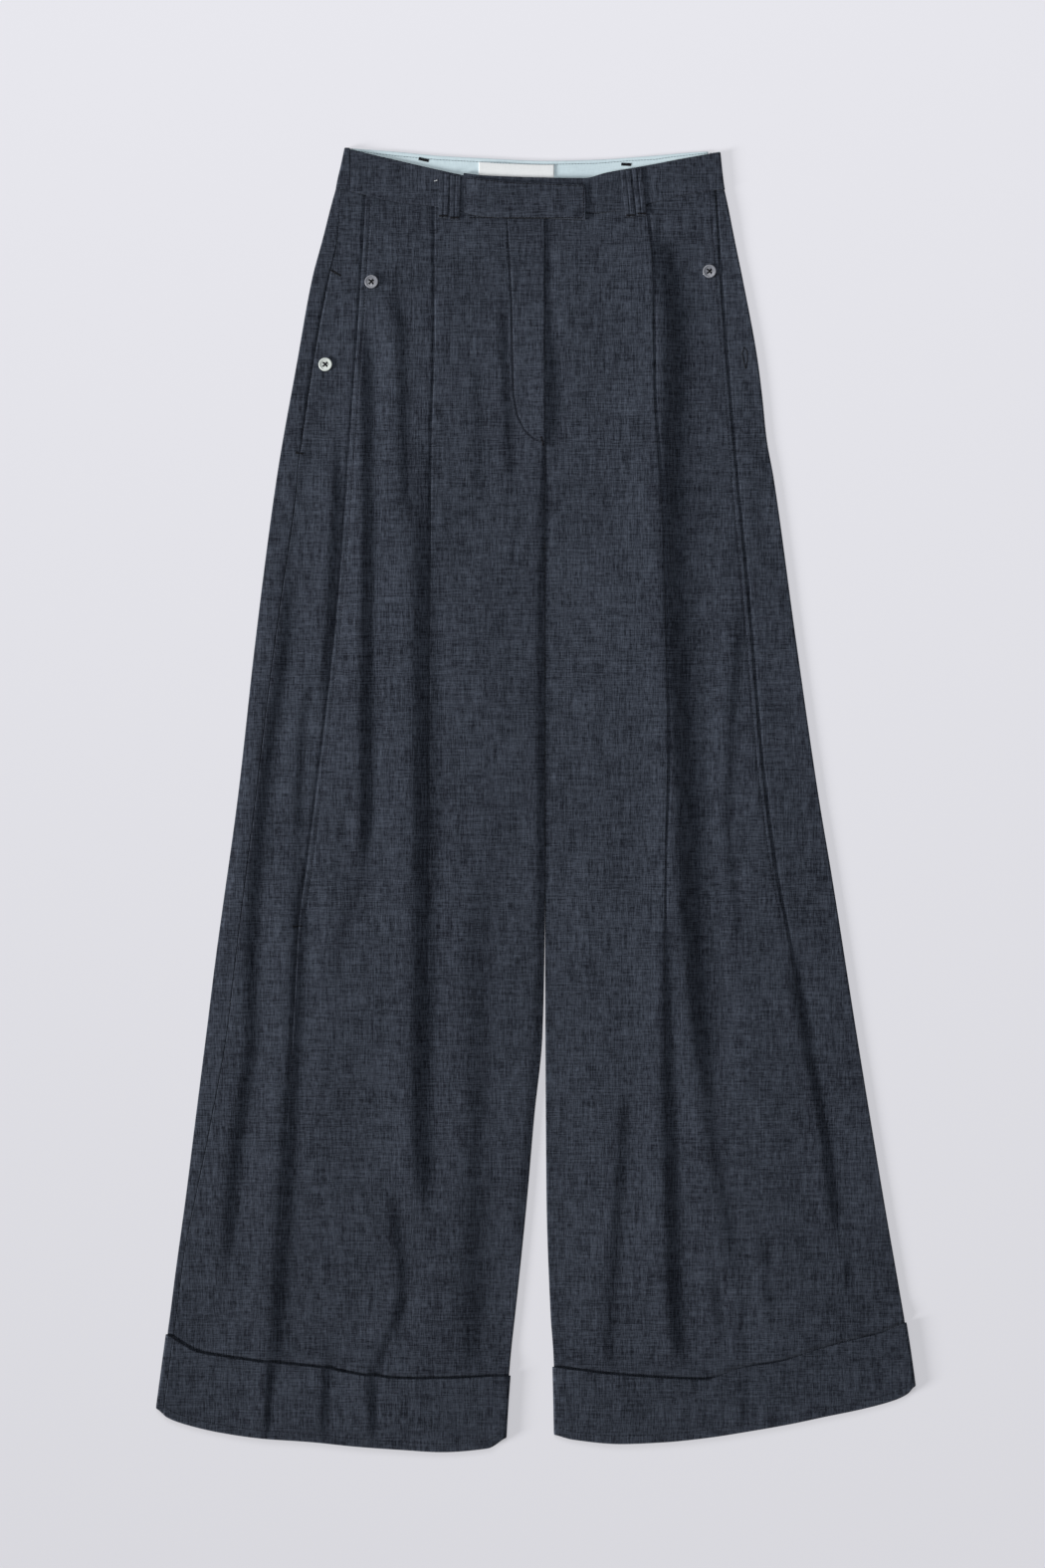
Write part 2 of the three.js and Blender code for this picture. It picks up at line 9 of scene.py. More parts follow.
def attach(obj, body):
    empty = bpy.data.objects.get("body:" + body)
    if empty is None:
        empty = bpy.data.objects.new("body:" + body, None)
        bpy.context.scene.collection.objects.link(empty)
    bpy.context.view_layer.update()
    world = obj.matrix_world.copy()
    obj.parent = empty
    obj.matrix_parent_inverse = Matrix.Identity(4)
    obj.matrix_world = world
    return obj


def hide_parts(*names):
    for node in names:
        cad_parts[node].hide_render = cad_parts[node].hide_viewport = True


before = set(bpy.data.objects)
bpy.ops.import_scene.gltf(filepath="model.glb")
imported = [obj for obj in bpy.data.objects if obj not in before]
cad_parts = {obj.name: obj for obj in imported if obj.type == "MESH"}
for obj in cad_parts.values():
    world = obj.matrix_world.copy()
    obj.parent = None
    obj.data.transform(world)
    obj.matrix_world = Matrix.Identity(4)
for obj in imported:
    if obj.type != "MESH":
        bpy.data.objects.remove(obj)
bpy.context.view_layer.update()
print("frame loaded")

# Shapes are worked out in millimetres and become metres when a mesh is made.
# Left and right are the wearer's: the right leg has negative x. The waist is towards +y.
mm = 0.001

clothSizes = {
    "thickness": 0.65,     # shell of one layer
    "rim": 0.45,           # what is left of it at an edge
    "ply": 1.4,            # from one layer's middle to the next one's
    "foldRadius": 1.2,     # outer and inner folds of the flattened legs
    "seamGap": 0.3,
}
pleatSizes = {
    "ply": 0.95,           # from layer to layer inside a pressed pleat
    "press": 0.62,         # its height, as a share of the loose one's
    "sunk": 0.8,           # how far its lowest layer lies below the cloth beside it, as a share of that
    "outside": 17,         # longest slope beside its mouth
    "inside": 11,          # slope behind it
    "roomShare": 0.6,      # the outside slope takes this share of the room at most
    "mouth": 9,            # on a shorter slope the mouth is drawn in as well
    "shoulder": (0.55, 0.97),   # where the outside slope bends, along and up
    "crowding": 1.6,       # the columns of its cover stand closer at the fold
}
puffSizes = {
    "height": 3.0,         # how far a front stands up off the back between its edges
    "inner": 62,           # it grows over this distance from an inner edge,
    "outer": 100,          # from an outer fold
    "waist": 60,           # and from the waist seam
    "crotch": 0.06,        # and below the crotch, as a share of the leg
    "hem": 0.45,           # what is left of it near the hem
    "hemStart": 0.86,      # where it starts to fall, as a share of the leg
    "hemRun": 0.08,
}
reliefSizes = {
    "edge": 7,             # creases come in over this distance from the folds
    "waist": 25,           # and over this one from the waist seam,
    "waistStart": 8,       # from this far above its middle
    "topStart": 0.1,       # only cloth this far above the lowest layer is lifted at all,
    "topRun": 0.9,         # and in full over this height more
    "lowest": -0.9,        # none goes deeper
    "ditch": 1.9,          # how far a leg dips at the edge of its turn-up
    "ditchShift": 0.0005,  # below that edge, as a share of the leg
    "ditchWidth": 0.0026,
}
legSizes = {
    "rest": 0.5,           # middle of the lowest layer above the floor
    "cuffShare": 0.94,     # top of the turn-up, as a share of the leg's length
    "cuffStart": 0.022,    # the leg climbs on to the turned-up back this far above it
    "cuffRun": 0.019,
    "hemShare": 0.00092,   # one millimetre near the hem, as a share
    "crotchShare": 0.25,
    "partShare": 0.022,    # the legs part over this share below the crotch
    "underBand": 4,        # seam allowance that runs on inside the waistband
    "backShift": 1.8,      # the back's centre seam lies this far beside the front's
    "sideUnder": 10,       # the left side seam lies this far inside the fold, on the underside
    "rollUnder": 3,        # the front turns under by this much at its inner edge
    "sagReach": 14,
    "waistFade": 45,
    "rows": 149,
    "coverColumns": 6,
    "fieldColumns": (5, 7, 9),   # outside the outer pleat, between the pleats, inside the inner one
}


def ease(t):
    t = np.clip(t, 0, 1)
    return t * t * (3 - 2 * t)


def mix(a, b, t):
    return a + (b - a) * t


def table(names, rows):
    keys = names.split()
    return [dict(zip(keys, row)) for row in rows]


# The value of one column where another has the given value, on a smooth curve through the rows.
def at(rows, where, value, key="y"):
    last = len(rows) - 1
    sign = 1 if rows[last][key] > rows[0][key] else -1
    i = 0
    while i < last - 1 and sign * where > sign * rows[i + 1][key]:
        i += 1

    def slope(a):
        return (rows[a + 1][value] - rows[a][value]) / (rows[a + 1][key] - rows[a][key])

    def shared(a, b):
        return 2 * a * b / (a + b) if a * b > 0 else 0

    here = slope(i)
    before = shared(slope(i - 1), here) if i > 0 else here
    after = shared(here, slope(i + 1)) if i < last - 1 else here
    span = rows[i + 1][key] - rows[i][key]
    t = min(max((where - rows[i][key]) / span, 0), 1)
    stay = t * t * (3 - 2 * t)
    bend = span * t * (1 - t) * ((1 - t) * before - t * after)
    return mix(rows[i][value], rows[i + 1][value], stay) + bend


rightLeg = {
    "out": -1,
    "innerSag": 0,
    "outline": table("y outer inner", [
        (530, -171.6, 8.2), (519, -174.9, 8.2), (484, -183.9, 8.2), (450, -193, 8.2),
        (381, -205.5, 8.2), (278, -223.6, 8.24), (140, -241.7, 8.24), (3, -257.1, 8.24),
        (-100, -271.3, 8.2), (-135, -276.1, 7.8), (-204, -284.7, 6), (-272, -293.3, -0.9),
        (-341, -301.9, -6.9), (-410, -311.3, -13.8), (-444, -315.6, -17.5), (-479, -320.3, -21.3),
        (-527, -326.7, -25), (-563, -331, -27),
    ]),
    "wrap": table("y width", [   # side seam, from the outer fold
        (530, 4.3), (470, 13.4), (447, 13.6), (390, 13.6), (300, 16), (255, 18.5), (165, 17), (3, 15),
        (-185, 17), (-270, 13), (-398, 5), (-560, 5),
    ]),
    "edges": table("across seam back cuff hem", [   # 0 at the inner edge, 1 at the outer fold
        (0, 501.5, 517.3, -497, -551), (0.05, 501.6, 517.5, -497.5, -560),
        (0.18, 501.8, 518, -499, -563), (0.3, 503, 518.6, -499.4, -561),
        (0.42, 508, 520, -496.5, -558.5), (0.56, 512.8, 521.7, -489.5, -554.3),
        (0.7, 515.5, 523.3, -485.5, -551.3), (0.82, 520, 525, -481, -546.2),
        (0.91, 524, 526.4, -476.5, -540), (0.97, 526.5, 527, -467, -533.5),
        (1, 527.4, 527.4, -461, -525.5),
    ]),
    "waistRise": table("x rise", [(-170, 0.8), (-66, 0.8), (-46, 1.5), (8, 1.5)]),
    "pleats": [
        table("y x lap turn rise", [
            (527, -146, 6, 180, 2.8), (448, -150.4, 7, 180, 2.8), (316, -159.4, 11, 180, 2.8),
            (206, -167.3, 17, 180, 2.8), (82, -179.7, 27, 180, 2.8), (-48, -196, 38, 180, 2.8),
            (-109, -204.2, 36, 180, 2.8), (-160, -207, 14, 180, 2.2), (-200, -209, 0.8, 150, 1.2),
            (-260, -212.5, 0.6, 30, 0.5), (-360, -219.5, 0.6, 10, 0.2), (-500, -227.5, 0.6, 4, 0.1),
        ]),
        table("y x lap turn rise", [
            (515, -87, 20, 180, 2.8), (404, -87, 17, 180, 2.8), (300, -89.6, 12, 180, 2.8),
            (206, -90.3, 6, 180, 2.8), (120, -91, 0.8, 180, 2.8), (40, -91.2, 0.6, 140, 2.7),
            (-42, -91.2, 0.6, 90, 2.0), (-135, -92, 0.6, 50, 1.3), (-230, -96, 0.6, 24, 0.6),
            (-330, -99, 0.6, 8, 0.2), (-500, -100, 0.6, 4, 0.1),
        ]),
    ],
}
leftLeg = {
    "out": 1,
    "innerSag": 0.9,        # its inner edge lies lower, so that the other leg's shadow falls on it
    "outline": table("y outer inner", [
        (530, 162.4, 8.24), (519, 165, 8.24), (484, 172, 8.24), (450, 179, 8.24),
        (381, 191.8, 8.24), (347, 196.1, 8.24), (312, 199.7, 8.24), (278, 205.8, 8.2),
        (140, 224.8, 8.2), (3, 244.6, 8.2), (-66, 256.1, 8.2), (-204, 277.8, 8.6),
        (-341, 300.2, 9.5), (-444, 317.9, 13), (-479, 323.4, 15.5), (-510, 327.6, 16.5),
        (-560, 333.6, 17.5),
    ]),
    "wrap": None,   # its side seam is on the underside
    "edges": table("across seam back cuff hem", [
        (0, 503, 517.3, -489.5, -548.5), (0.05, 503.5, 517.4, -491.5, -552.5),
        (0.18, 505.5, 517.7, -496, -556), (0.3, 506.3, 518.2, -498.5, -554.5),
        (0.42, 509, 519.5, -500, -550.7), (0.54, 512.5, 521, -489.5, -545),
        (0.65, 517, 522.5, -484, -539), (0.75, 520.8, 523.8, -474, -532.5),
        (0.85, 523.7, 525, -466, -526.2), (0.94, 525.6, 526, -459, -518.8),
        (0.98, 526.3, 526.4, -453.5, -513), (1, 526.5, 526.5, -451, -506),
    ]),
    "waistRise": table("x rise", [(0, 0.8), (170, 0.8)]),
    "pleats": [
        table("y x lap turn rise", [
            (527, 155, 6, 180, 2.8), (446, 159.8, 7, 180, 2.8), (321, 169.6, 9, 180, 2.8),
            (159, 184.6, 12, 180, 2.8), (35, 195, 22, 180, 2.8), (-57, 206.4, 30, 180, 2.8),
            (-118, 218, 30, 180, 2.8), (-165, 226, 12, 180, 2.5), (-200, 232, 0.8, 160, 1.8),
            (-265, 247, 0.6, 60, 1.0), (-342, 259, 0.6, 16, 0.3), (-500, 268, 0.6, 4, 0.1),
        ]),
        table("y x lap turn rise", [
            (515, 95.5, 20, 180, 2.8), (461, 101, 19, 180, 2.8), (356, 102.3, 15, 180, 2.8),
            (237, 109.8, 8, 180, 2.8), (120, 112.8, 0.8, 180, 2.8), (40, 114, 0.6, 140, 2.7),
            (-42, 112, 0.6, 90, 2.0), (-131, 110.9, 0.6, 50, 1.3), (-230, 112, 0.6, 24, 0.6),
            (-330, 114, 0.6, 8, 0.2), (-500, 117, 0.6, 4, 0.1),
        ]),
    ],
}


def waistEdge(leg, name):
    inner = at(leg["outline"], leg["edges"][0][name], "inner")
    outer = at(leg["outline"], leg["edges"][-1][name], "outer")
    return [{"x": mix(inner, outer, row["across"]), "y": row[name]} for row in leg["edges"]]


# Creases that were pressed or worn into the cloth, listed one by one. A path goes from the waist down; fade
# is the length over which the crease comes in at its top and goes out at its bottom. A step falls to the
# right of its path over about twice its width. A bank is highest at its width to the left of its path and
# falls to the path. A shelf rises from its path to the right. A valley is the same on both sides.
creases = table("kind width height fade path", [
    # right leg, from the outer fold to the centre
    ("step", 10, 2.3, (190, 60), [(-210.7, 286), (-216, 142), (-230, 50), (-240, -40), (-245, -110),
                                  (-246, -215), (-252, -256), (-258, -290), (-264, -365), (-268, -425)]),
    ("step", 11.5, 2.6, (60, 100), [(-204, -40), (-205, -135), (-208, -205), (-212, -260), (-215, -311),
                                    (-220, -394), (-225, -484), (-229, -530)]),
    ("step", 7, 1.8, (60, 80), [(-171, 330), (-172, 250), (-179, 140), (-187, 60)]),
    ("step", 7, 1.3, (80, 60), [(-190, 140), (-203, 50), (-205, -20), (-204, -70)]),
    ("step", 7.2, 2.4, (60, 60), [(-149, 430), (-147, 370), (-146, 317), (-146, 201), (-147, 83),
                                  (-147.5, -37), (-149, -75)]),
    ("step", 9, 0.8, (30, 50), [(-150, -60), (-158, -90), (-172, -125), (-184, -170)]),
    ("step", 9, 1.7, (30, 60), [(-123, 452), (-118.7, 418), (-116, 397), (-114, 342), (-113.5, 280),
                                (-111, 220)]),
    ("step", 13, 3.4, (170, 60), [(-98, 340), (-98, 228), (-98, 100), (-98, 0), (-98, -100), (-100, -250),
                                  (-98, -320), (-95, -372)]),
    ("step", 7, 1.2, (20, 40), [(-125, -333), (-120, -376), (-115, -412), (-118.7, -449), (-127, -478)]),
    ("step", 17, 1.9, (120, 30), [(-48, -20), (-50, -112), (-52, -300), (-56, -500)]),
    ("valley", 2.2, 0.5, (12, 12), [(-200, -261), (-160, -268), (-123, -273)]),
    ("valley", 2.0, 0.5, (8, 8), [(-103, 501), (-96, 487), (-89, 474)]),
    ("step", 4.5, 1.3, (16, 16), [(-229, -478), (-233, -552)]),
    ("step", 4.5, 1.2, (16, 16), [(-180, -478), (-184, -552)]),
    ("step", 4.5, 1.2, (16, 16), [(-143, -478), (-141, -556)]),
    ("step", 5, 1.2, (20, 16), [(-112, -425), (-124, -452), (-134, -478), (-137, -496)]),
    # left leg, from the centre to the outer fold
    ("step", 9, 1.4, (50, 30), [(79, -235), (70.5, -353), (63, -455), (65.4, -496)]),
    ("step", 9.5, 2.6, (110, 30), [(112, -60), (112, -156), (114, -276), (117.5, -394), (120, -450),
                                   (123, -472), (129, -492)]),
    ("step", 5, 0.8, (10, 40), [(106, 506), (102.6, 468), (104, 420)]),
    ("step", 14.5, 4.9, (40, 110), [(111, 492), (115, 465), (119.5, 415), (118.5, 342), (116.5, 267),
                                    (118, 171), (124, 82), (129, -7), (133, -97), (141, -186), (146, -246),
                                    (150, -295)]),
    ("step", 10, 1.4, (60, 60), [(147, -225), (151, -288), (163, -353), (176, -432)]),
    ("step", 5, 0.9, (20, 20), [(151, -400), (155, -432), (160, -470)]),
    ("step", 5, 0.9, (20, 20), [(196, -370), (200, -410), (203, -450)]),
    ("step", 7, 1.0, (60, 50), [(180, 190), (170, 82), (165, -13), (172, -85), (178, -150)]),
    ("step", 7, 1.5, (80, 30), [(219, -100), (224, -156), (234, -215), (248, -285), (257, -350),
                                (259, -380)]),
    ("step", 3, 0.6, (12, 12), [(212, -390), (218, -428)]),
    ("step", 3, 0.6, (12, 12), [(267.5, -390), (268.3, -422)]),
    ("step", 4, 0.6, (12, 10), [(138, -440), (138, -476)]),
    ("step", 4, 0.7, (16, 16), [(176, -425), (177, -486)]),
    ("step", 4, 0.6, (10, 10), [(178, -492), (180, -542)]),
    ("valley", 2.5, 0.8, (8, 8), [(202, 259), (190, 235)]),
    ("valley", 2.0, 1.6, (9, 9), [(176.5, 402), (179, 386), (182, 367)]),
    # centre seam, fly and waist
    ("bank", 10, 2.2, (60, 120), [(8.2, 320), (8.2, -100), (7.6, -135), (6, -204), (-0.9, -272),
                                  (-6.9, -341), (-17.5, -444)]),
    ("valley", 1.6, 1.0, (6, 20), [(8.2, 309), (8.2, 225)]),
    ("shelf", 9, 0.5, (3, 120), [(8.2, 505), (8.2, 400), (8.2, 250)]),
    ("step", 7, 1.3, (30, 30), [(-29, 430), (-26, 354), (-23, 300), (-21, 255)]),
    ("step", 9, 0.8, (40, 40), [(-52, 390), (-50, 300), (-49, 240)]),
    ("step", 8, 1.9, (70, 40), [(13, 430), (14, 355), (15, 306), (15, 280)]),
    ("valley", 1.8, 0.8, (6, 6), [(-24, 498), (-15, 482), (-6, 468)]),
    ("valley", 1.8, 0.7, (6, 6), [(-16, 472), (-12, 442)]),
])
for leg in (rightLeg, leftLeg):   # the line of stitches beside the folded edge of the outer pleat
    edge = [(row["x"] - 4.2 * leg["out"], row["y"]) for row in leg["pleats"][0] if row["y"] > -110]
    creases += table("kind width height fade path", [("valley", 1.0, 0.4, (5, 12), edge)])
creases += table("kind width height fade path", [   # the side pocket's opening, between its two bar tacks
    ("valley", 1.3, 1.0, (4, 4), [(-176.4, 457), (-179.4, 447), (-190.4, 390), (-203.3, 299)])])

clutter = {"seed": 7, "count": 190, "height": 0.34, "width": (3, 10), "length": (50, 190)}


# Small random undulations, mostly along the legs.
def smallCreases():
    rng = random.Random(clutter["seed"])
    found = []
    for i in range(clutter["count"]):
        x, y = rng.uniform(-300, 300), rng.uniform(-500, 480)
        length = rng.uniform(*clutter["length"]) / 2
        lean = 0.00033 * x * length + rng.uniform(-7, 7)
        path = [(x - lean, y + length), (x + rng.uniform(-2, 2), y), (x + lean, y - length)]
        height = clutter["height"] * rng.uniform(0.4, 1) * rng.choice((-1, 1))
        found.append({"kind": "valley", "width": rng.uniform(*clutter["width"]), "height": height,
                      "fade": (0.6 * length, 0.6 * length), "path": path})
    return found


creases += smallCreases()


def creaseHeight(crease, x, y):
    path = np.array(crease["path"], float)
    run = abs(path[-1] - path[0])
    if run[1] > run[0]:
        along, across, points = -y, x, path[:, ::-1] * (-1, 1)
    else:
        along, across, points = x, y, path if path[0, 0] < path[-1, 0] else path[::-1]
    low, high = points[0, 0], points[-1, 0]
    slant = math.hypot(high - low, points[-1, 1] - points[0, 1]) / (high - low)
    s = (across - np.interp(along, points[:, 0], points[:, 1])) / slant / crease["width"]
    fadeIn, fadeOut = crease["fade"]
    ends = ease((along - low) / fadeIn) * ease((high - along) / fadeOut)
    if crease["kind"] == "step":
        return -crease["height"] * ends * 2 * s / (1 + s * s) * np.exp(-(s / 4.5) ** 2)
    if crease["kind"] == "bank":
        return np.where(s < 0, -crease["height"] * ends * s * np.exp(1 - np.abs(s)), 0)
    if crease["kind"] == "shelf":
        return np.where(s > 0, -crease["height"] * ends * np.exp(-np.abs(s)), 0)
    return -crease["height"] * ends * np.exp(-s * s)


def relief(x, y):
    return sum(creaseHeight(crease, x, y) for crease in creases)


# The fold at a leg's outer edge. Cutting its corners takes 0.15 of its radius off again.
def outerRoll(outer, low, high, thickness):
    radius = (high - low) / 2
    middle = outer - 0.85 * radius - thickness / 2
    return [(middle + radius * math.cos(a), low + radius + radius * math.sin(a))
            for a in (math.radians(d) for d in (-90, -60, -25, 25, 60, 90))]


def walk(start, steps):
    path = [start]
    for length, angle in steps:
        w, z = path[-1]
        path.append((w - length * math.cos(angle), z + length * math.sin(angle)))
    return path


class LegRow:
    def __init__(self, leg, down, top="seam"):
        edges, outline = leg["edges"], leg["outline"]
        cuffShare = legSizes["cuffShare"]

        def heightAcross(across):
            cuff = at(edges, across, "cuff", "across")
            if down < cuffShare:
                return mix(at(edges, across, top, "across"), cuff, down / cuffShare)
            return mix(cuff, at(edges, across, "hem", "across"), (down - cuffShare) / (1 - cuffShare))

        self.leg, self.down = leg, down
        self.heightAcross = heightAcross
        self.inner = leg["out"] * at(outline, heightAcross(0), "inner")
        self.outer = leg["out"] * at(outline, heightAcross(1), "outer")
        self.middleTop = at(edges, 0.5, top, "across")
        climbed = float(ease((down - cuffShare + legSizes["cuffStart"]) / legSizes["cuffRun"]))
        self.floor = legSizes["rest"] + clothSizes["ply"] * climbed

    def height(self, w):
        return self.heightAcross(min(max((w - self.inner) / (self.outer - self.inner), 0), 1))

    def level(self, w):
        sunk = 1 - float(ease((self.height(w) - self.middleTop) / -legSizes["waistFade"]))
        rise = at(self.leg["waistRise"], self.leg["out"] * w, "rise", "x")
        sag = self.leg["innerSag"] * math.exp(-max(w - self.inner, 0) / legSizes["sagReach"]) * (1 - sunk)
        return self.floor + 2 * clothSizes["foldRadius"] + rise * sunk - sag


# The slope down to a pleat's mouth: distance from the mouth, and height as a share of the cloth's there.
mouthSlope = table("away share", [(3.6, 0.86), (2.2, 0.55), (1.3, 0.12), (0.7, 0)])


def pleatPath(row, rows, room):
    out = row.leg["out"]
    edge = out * at(rows, row.height(row.inner), "x")
    for i in range(4):
        edge = out * at(rows, row.height(edge), "x")
    y = row.height(edge)
    lap, turn, rise = (at(rows, y, key) for key in ("lap", "turn", "rise"))
    rise *= pleatSizes["press"]
    angle = math.radians(turn)
    half = (rise - lap * math.sin(angle)) / (2 * (math.sin(angle / 4) + math.sin(3 * angle / 4)))
    low = max(row.floor + pleatSizes["ply"], row.level(edge) - pleatSizes["sunk"] * rise)
    turns = walk((0, low), [(half, angle / 4), (half, 3 * angle / 4), (lap, angle),
                            (half, 3 * angle / 4), (half, angle / 4)])
    shift = edge - clothSizes["thickness"] / 2 - turns[4][0]
    folded = [(w + shift, z) for w, z in turns]
    mouth = max(edge, folded[0][0])
    slope = min(pleatSizes["outside"], pleatSizes["roomShare"] * (room - mouth))
    drawn = min(1, slope / pleatSizes["mouth"])
    outside = mouth + slope
    covered = min(folded[0][0], folded[5][0]) - pleatSizes["ply"]
    inside = covered - pleatSizes["inside"]
    high = row.level(outside)
    along, up = pleatSizes["shoulder"]
    before = [(outside, high), (mouth + along * slope, mix(low, high, up))]
    before += [(mouth + step["away"] * drawn, mix(low, high, step["share"])) for step in mouthSlope]
    count = legSizes["coverColumns"]
    spread = [(k / count) ** pleatSizes["crowding"] for k in range(1, count + 1)]
    cover = [(mix(folded[5][0], covered, t), folded[5][1]) for t in spread]
    after = [(mix(covered, inside, 0.5), mix(folded[5][1], row.level(inside), 0.5)),
             (inside, row.level(inside))]
    return before + folded + cover + after


def field(row, start, end, count):
    return [(w, row.level(w)) for w in (mix(start, end, (k + 1) / (count + 1)) for k in range(count))]


def innerPath(row):
    turn = math.pi * float(ease((row.down - legSizes["crotchShare"]) / legSizes["partShare"]))
    drop = row.level(row.inner) - row.floor
    lengths = [drop / 2, drop / 2, drop / 2, legSizes["rollUnder"]]
    angles = [-turn / 6, -turn / 2, -5 * turn / 6, -turn]
    fall = -sum(length * math.sin(a) for length, a in zip(lengths, angles))
    scale = (turn / math.pi) * drop / fall if turn > 0 else 1
    path = walk((0, row.level(row.inner)), [(scale * length, a) for length, a in zip(lengths, angles)])
    start = row.inner - min(w for w, z in path) + clothSizes["thickness"] / 2 * math.sin(turn / 2)
    return [(w + start, z) for w, z in path]


def sideSeam(row):
    return row.outer - at(row.leg["wrap"], row.height(row.outer), "width")


def legRoll(row):
    return outerRoll(row.outer, row.floor, row.level(row.outer), 1.0)


def frontPath(leg, down):
    row = LegRow(leg, down)
    roll = legRoll(row)
    if leg["wrap"]:
        start = [(sideSeam(row) - clothSizes["seamGap"], row.level(row.outer))]
    else:
        start = [(roll[0][0] - legSizes["sideUnder"], row.floor)] + roll
    outerPleat, innerPleat = [pleatPath(row, rows, start[-1][0]) for rows in leg["pleats"]]
    inner = innerPath(row)
    outside, between, inside = legSizes["fieldColumns"]
    return row, (start + field(row, start[-1][0], outerPleat[0][0], outside) + outerPleat
                 + field(row, outerPleat[-1][0], innerPleat[0][0], between) + innerPleat
                 + field(row, innerPleat[-1][0], inner[0][0], inside) + inner)


def backPath(leg, down):
    row = LegRow(leg, down, "back")
    parted = float(ease((down - legSizes["crotchShare"] + legSizes["partShare"]) / legSizes["partShare"]))
    gap = clothSizes["seamGap"]
    inner = row.inner + mix(leg["out"] * legSizes["backShift"], 1 + clothSizes["foldRadius"]
                            + legSizes["rollUnder"] + gap, parted)
    roll = legRoll(row)
    flat = roll[0][0] - (0 if leg["wrap"] else legSizes["sideUnder"] + gap)
    run = [(mix(inner, flat, t), row.floor) for t in (0, 0.02, 0.2, 0.4, 0.6, 0.8, 0.95)]
    if not leg["wrap"]:
        return row, run + [(flat, row.floor)]
    seam, top = sideSeam(row), row.level(row.outer)
    return row, run + roll + [(mix(roll[-1][0], seam, t), top) for t in (0.33, 0.67, 1)]


# A smooth path by cutting corners; the ends stay.
def cutCorners(points, rounds):
    for i in range(rounds):
        a, b = points[:-1], points[1:]
        cut = np.empty((2 * len(a), points.shape[1]))
        cut[0::2] = 0.75 * a + 0.25 * b
        cut[1::2] = 0.25 * a + 0.75 * b
        points = np.vstack([points[:1], cut, points[-1:]])
    return points


# How far the cloth is lifted at points of one row.
def liftAt(row, x, y, w, ditch):
    parted = float(ease((row.down - legSizes["crotchShare"]) / puffSizes["crotch"]))
    inner = mix(1, ease((w - row.inner) / puffSizes["inner"]), parted)
    aside = ease((row.outer - w) / puffSizes["outer"]) * inner
    waist = ease((row.middleTop - y) / puffSizes["waist"])
    hem = mix(1, puffSizes["hem"], float(ease((row.down - puffSizes["hemStart"]) / puffSizes["hemRun"])))
    edge = reliefSizes["edge"]
    pressed = ease((row.outer - w) / edge) * mix(1, ease((w - row.inner) / edge), parted)
    pressed = pressed * ease((row.middleTop + reliefSizes["waistStart"] - y) / reliefSizes["waist"])
    lift = puffSizes["height"] * aside * waist * hem + relief(x, y) * pressed
    off = (row.down - legSizes["cuffShare"] - reliefSizes["ditchShift"]) / reliefSizes["ditchWidth"]
    return np.maximum(lift, reliefSizes["lowest"]) - ditch * math.exp(-off * off)


# A grid of the middle of the cloth: positions and directions out of it.
def legGrid(pathOf, leg, shares, ditch=0.0):
    positions = []
    for down in shares:
        row, path = pathOf(leg, down)
        fine = cutCorners(np.array(path, float), 2)
        w, z = fine[:, 0], fine[:, 1]
        x, y = leg["out"] * w, np.array([row.height(v) for v in w])
        onTop = ease((z - row.floor - reliefSizes["topStart"]) / reliefSizes["topRun"])
        positions.append(np.stack([x, y, z + liftAt(row, x, y, w, ditch) * onTop], axis=1))
    positions = np.array(positions)
    return positions, sectionNormals(positions, leg["out"])


def sectionNormals(positions, out):
    w, z = out * positions[..., 0], positions[..., 2]
    dw, dz = np.gradient(w, axis=1), np.gradient(z, axis=1)
    size = np.maximum(np.hypot(dw, dz), 1e-9)
    normals = np.zeros_like(positions)
    normals[..., 0] = out * dz / size
    normals[..., 2] = -dw / size
    return normals


# A closed shell over a grid, with a UV map in metres as the cloth lies. The rim is the share of the
# thickness that is left at the very edge.
def shellObject(name, grid, thickness, shift=0.0, rim=clothSizes["rim"]):
    positions, normals = grid
    rows, columns = positions.shape[:2]
    half = np.full((rows, columns), thickness / 2)
    half[0, :] *= rim
    half[-1, :] *= rim
    half[:, 0] *= rim
    half[:, -1] *= rim
    top = positions + normals * (shift + half)[..., None]
    bottom = positions + normals * (shift - half)[..., None]
    points = np.concatenate([top.reshape(-1, 3), bottom.reshape(-1, 3)]) * mm
    index = np.arange(rows * columns).reshape(rows, columns)
    under = index + rows * columns
    a, b, c, d = index[:-1, :-1], index[:-1, 1:], index[1:, 1:], index[1:, :-1]
    faces = [np.stack([a, b, c, d], -1).reshape(-1, 4)]
    a, b, c, d = under[:-1, :-1], under[1:, :-1], under[1:, 1:], under[:-1, 1:]
    faces.append(np.stack([a, b, c, d], -1).reshape(-1, 4))
    ring = np.concatenate([index[0, :-1], index[:-1, -1], index[-1, :0:-1], index[:0:-1, 0]])
    after = np.roll(ring, -1)
    faces.append(np.stack([after, ring, ring + rows * columns, after + rows * columns], -1))
    faces = np.concatenate(faces)

    place = random.Random(name)
    uv = positions[..., :2].reshape(-1, 2) * mm + (place.uniform(1, 9), place.uniform(1, 9))
    uv = np.concatenate([uv, uv])

    mesh = bpy.data.meshes.new(name)
    mesh.from_pydata(points.tolist(), [], faces.tolist())
    layer = mesh.uv_layers.new(name="cloth")
    loops = np.empty(len(mesh.loops), np.int32)
    mesh.loops.foreach_get("vertex_index", loops)
    layer.data.foreach_set("uv", uv[loops].astype(np.float32).ravel())
    mesh.shade_smooth()
    piece = bpy.data.objects.new(name, mesh)
    bpy.context.scene.collection.objects.link(piece)
    return piece


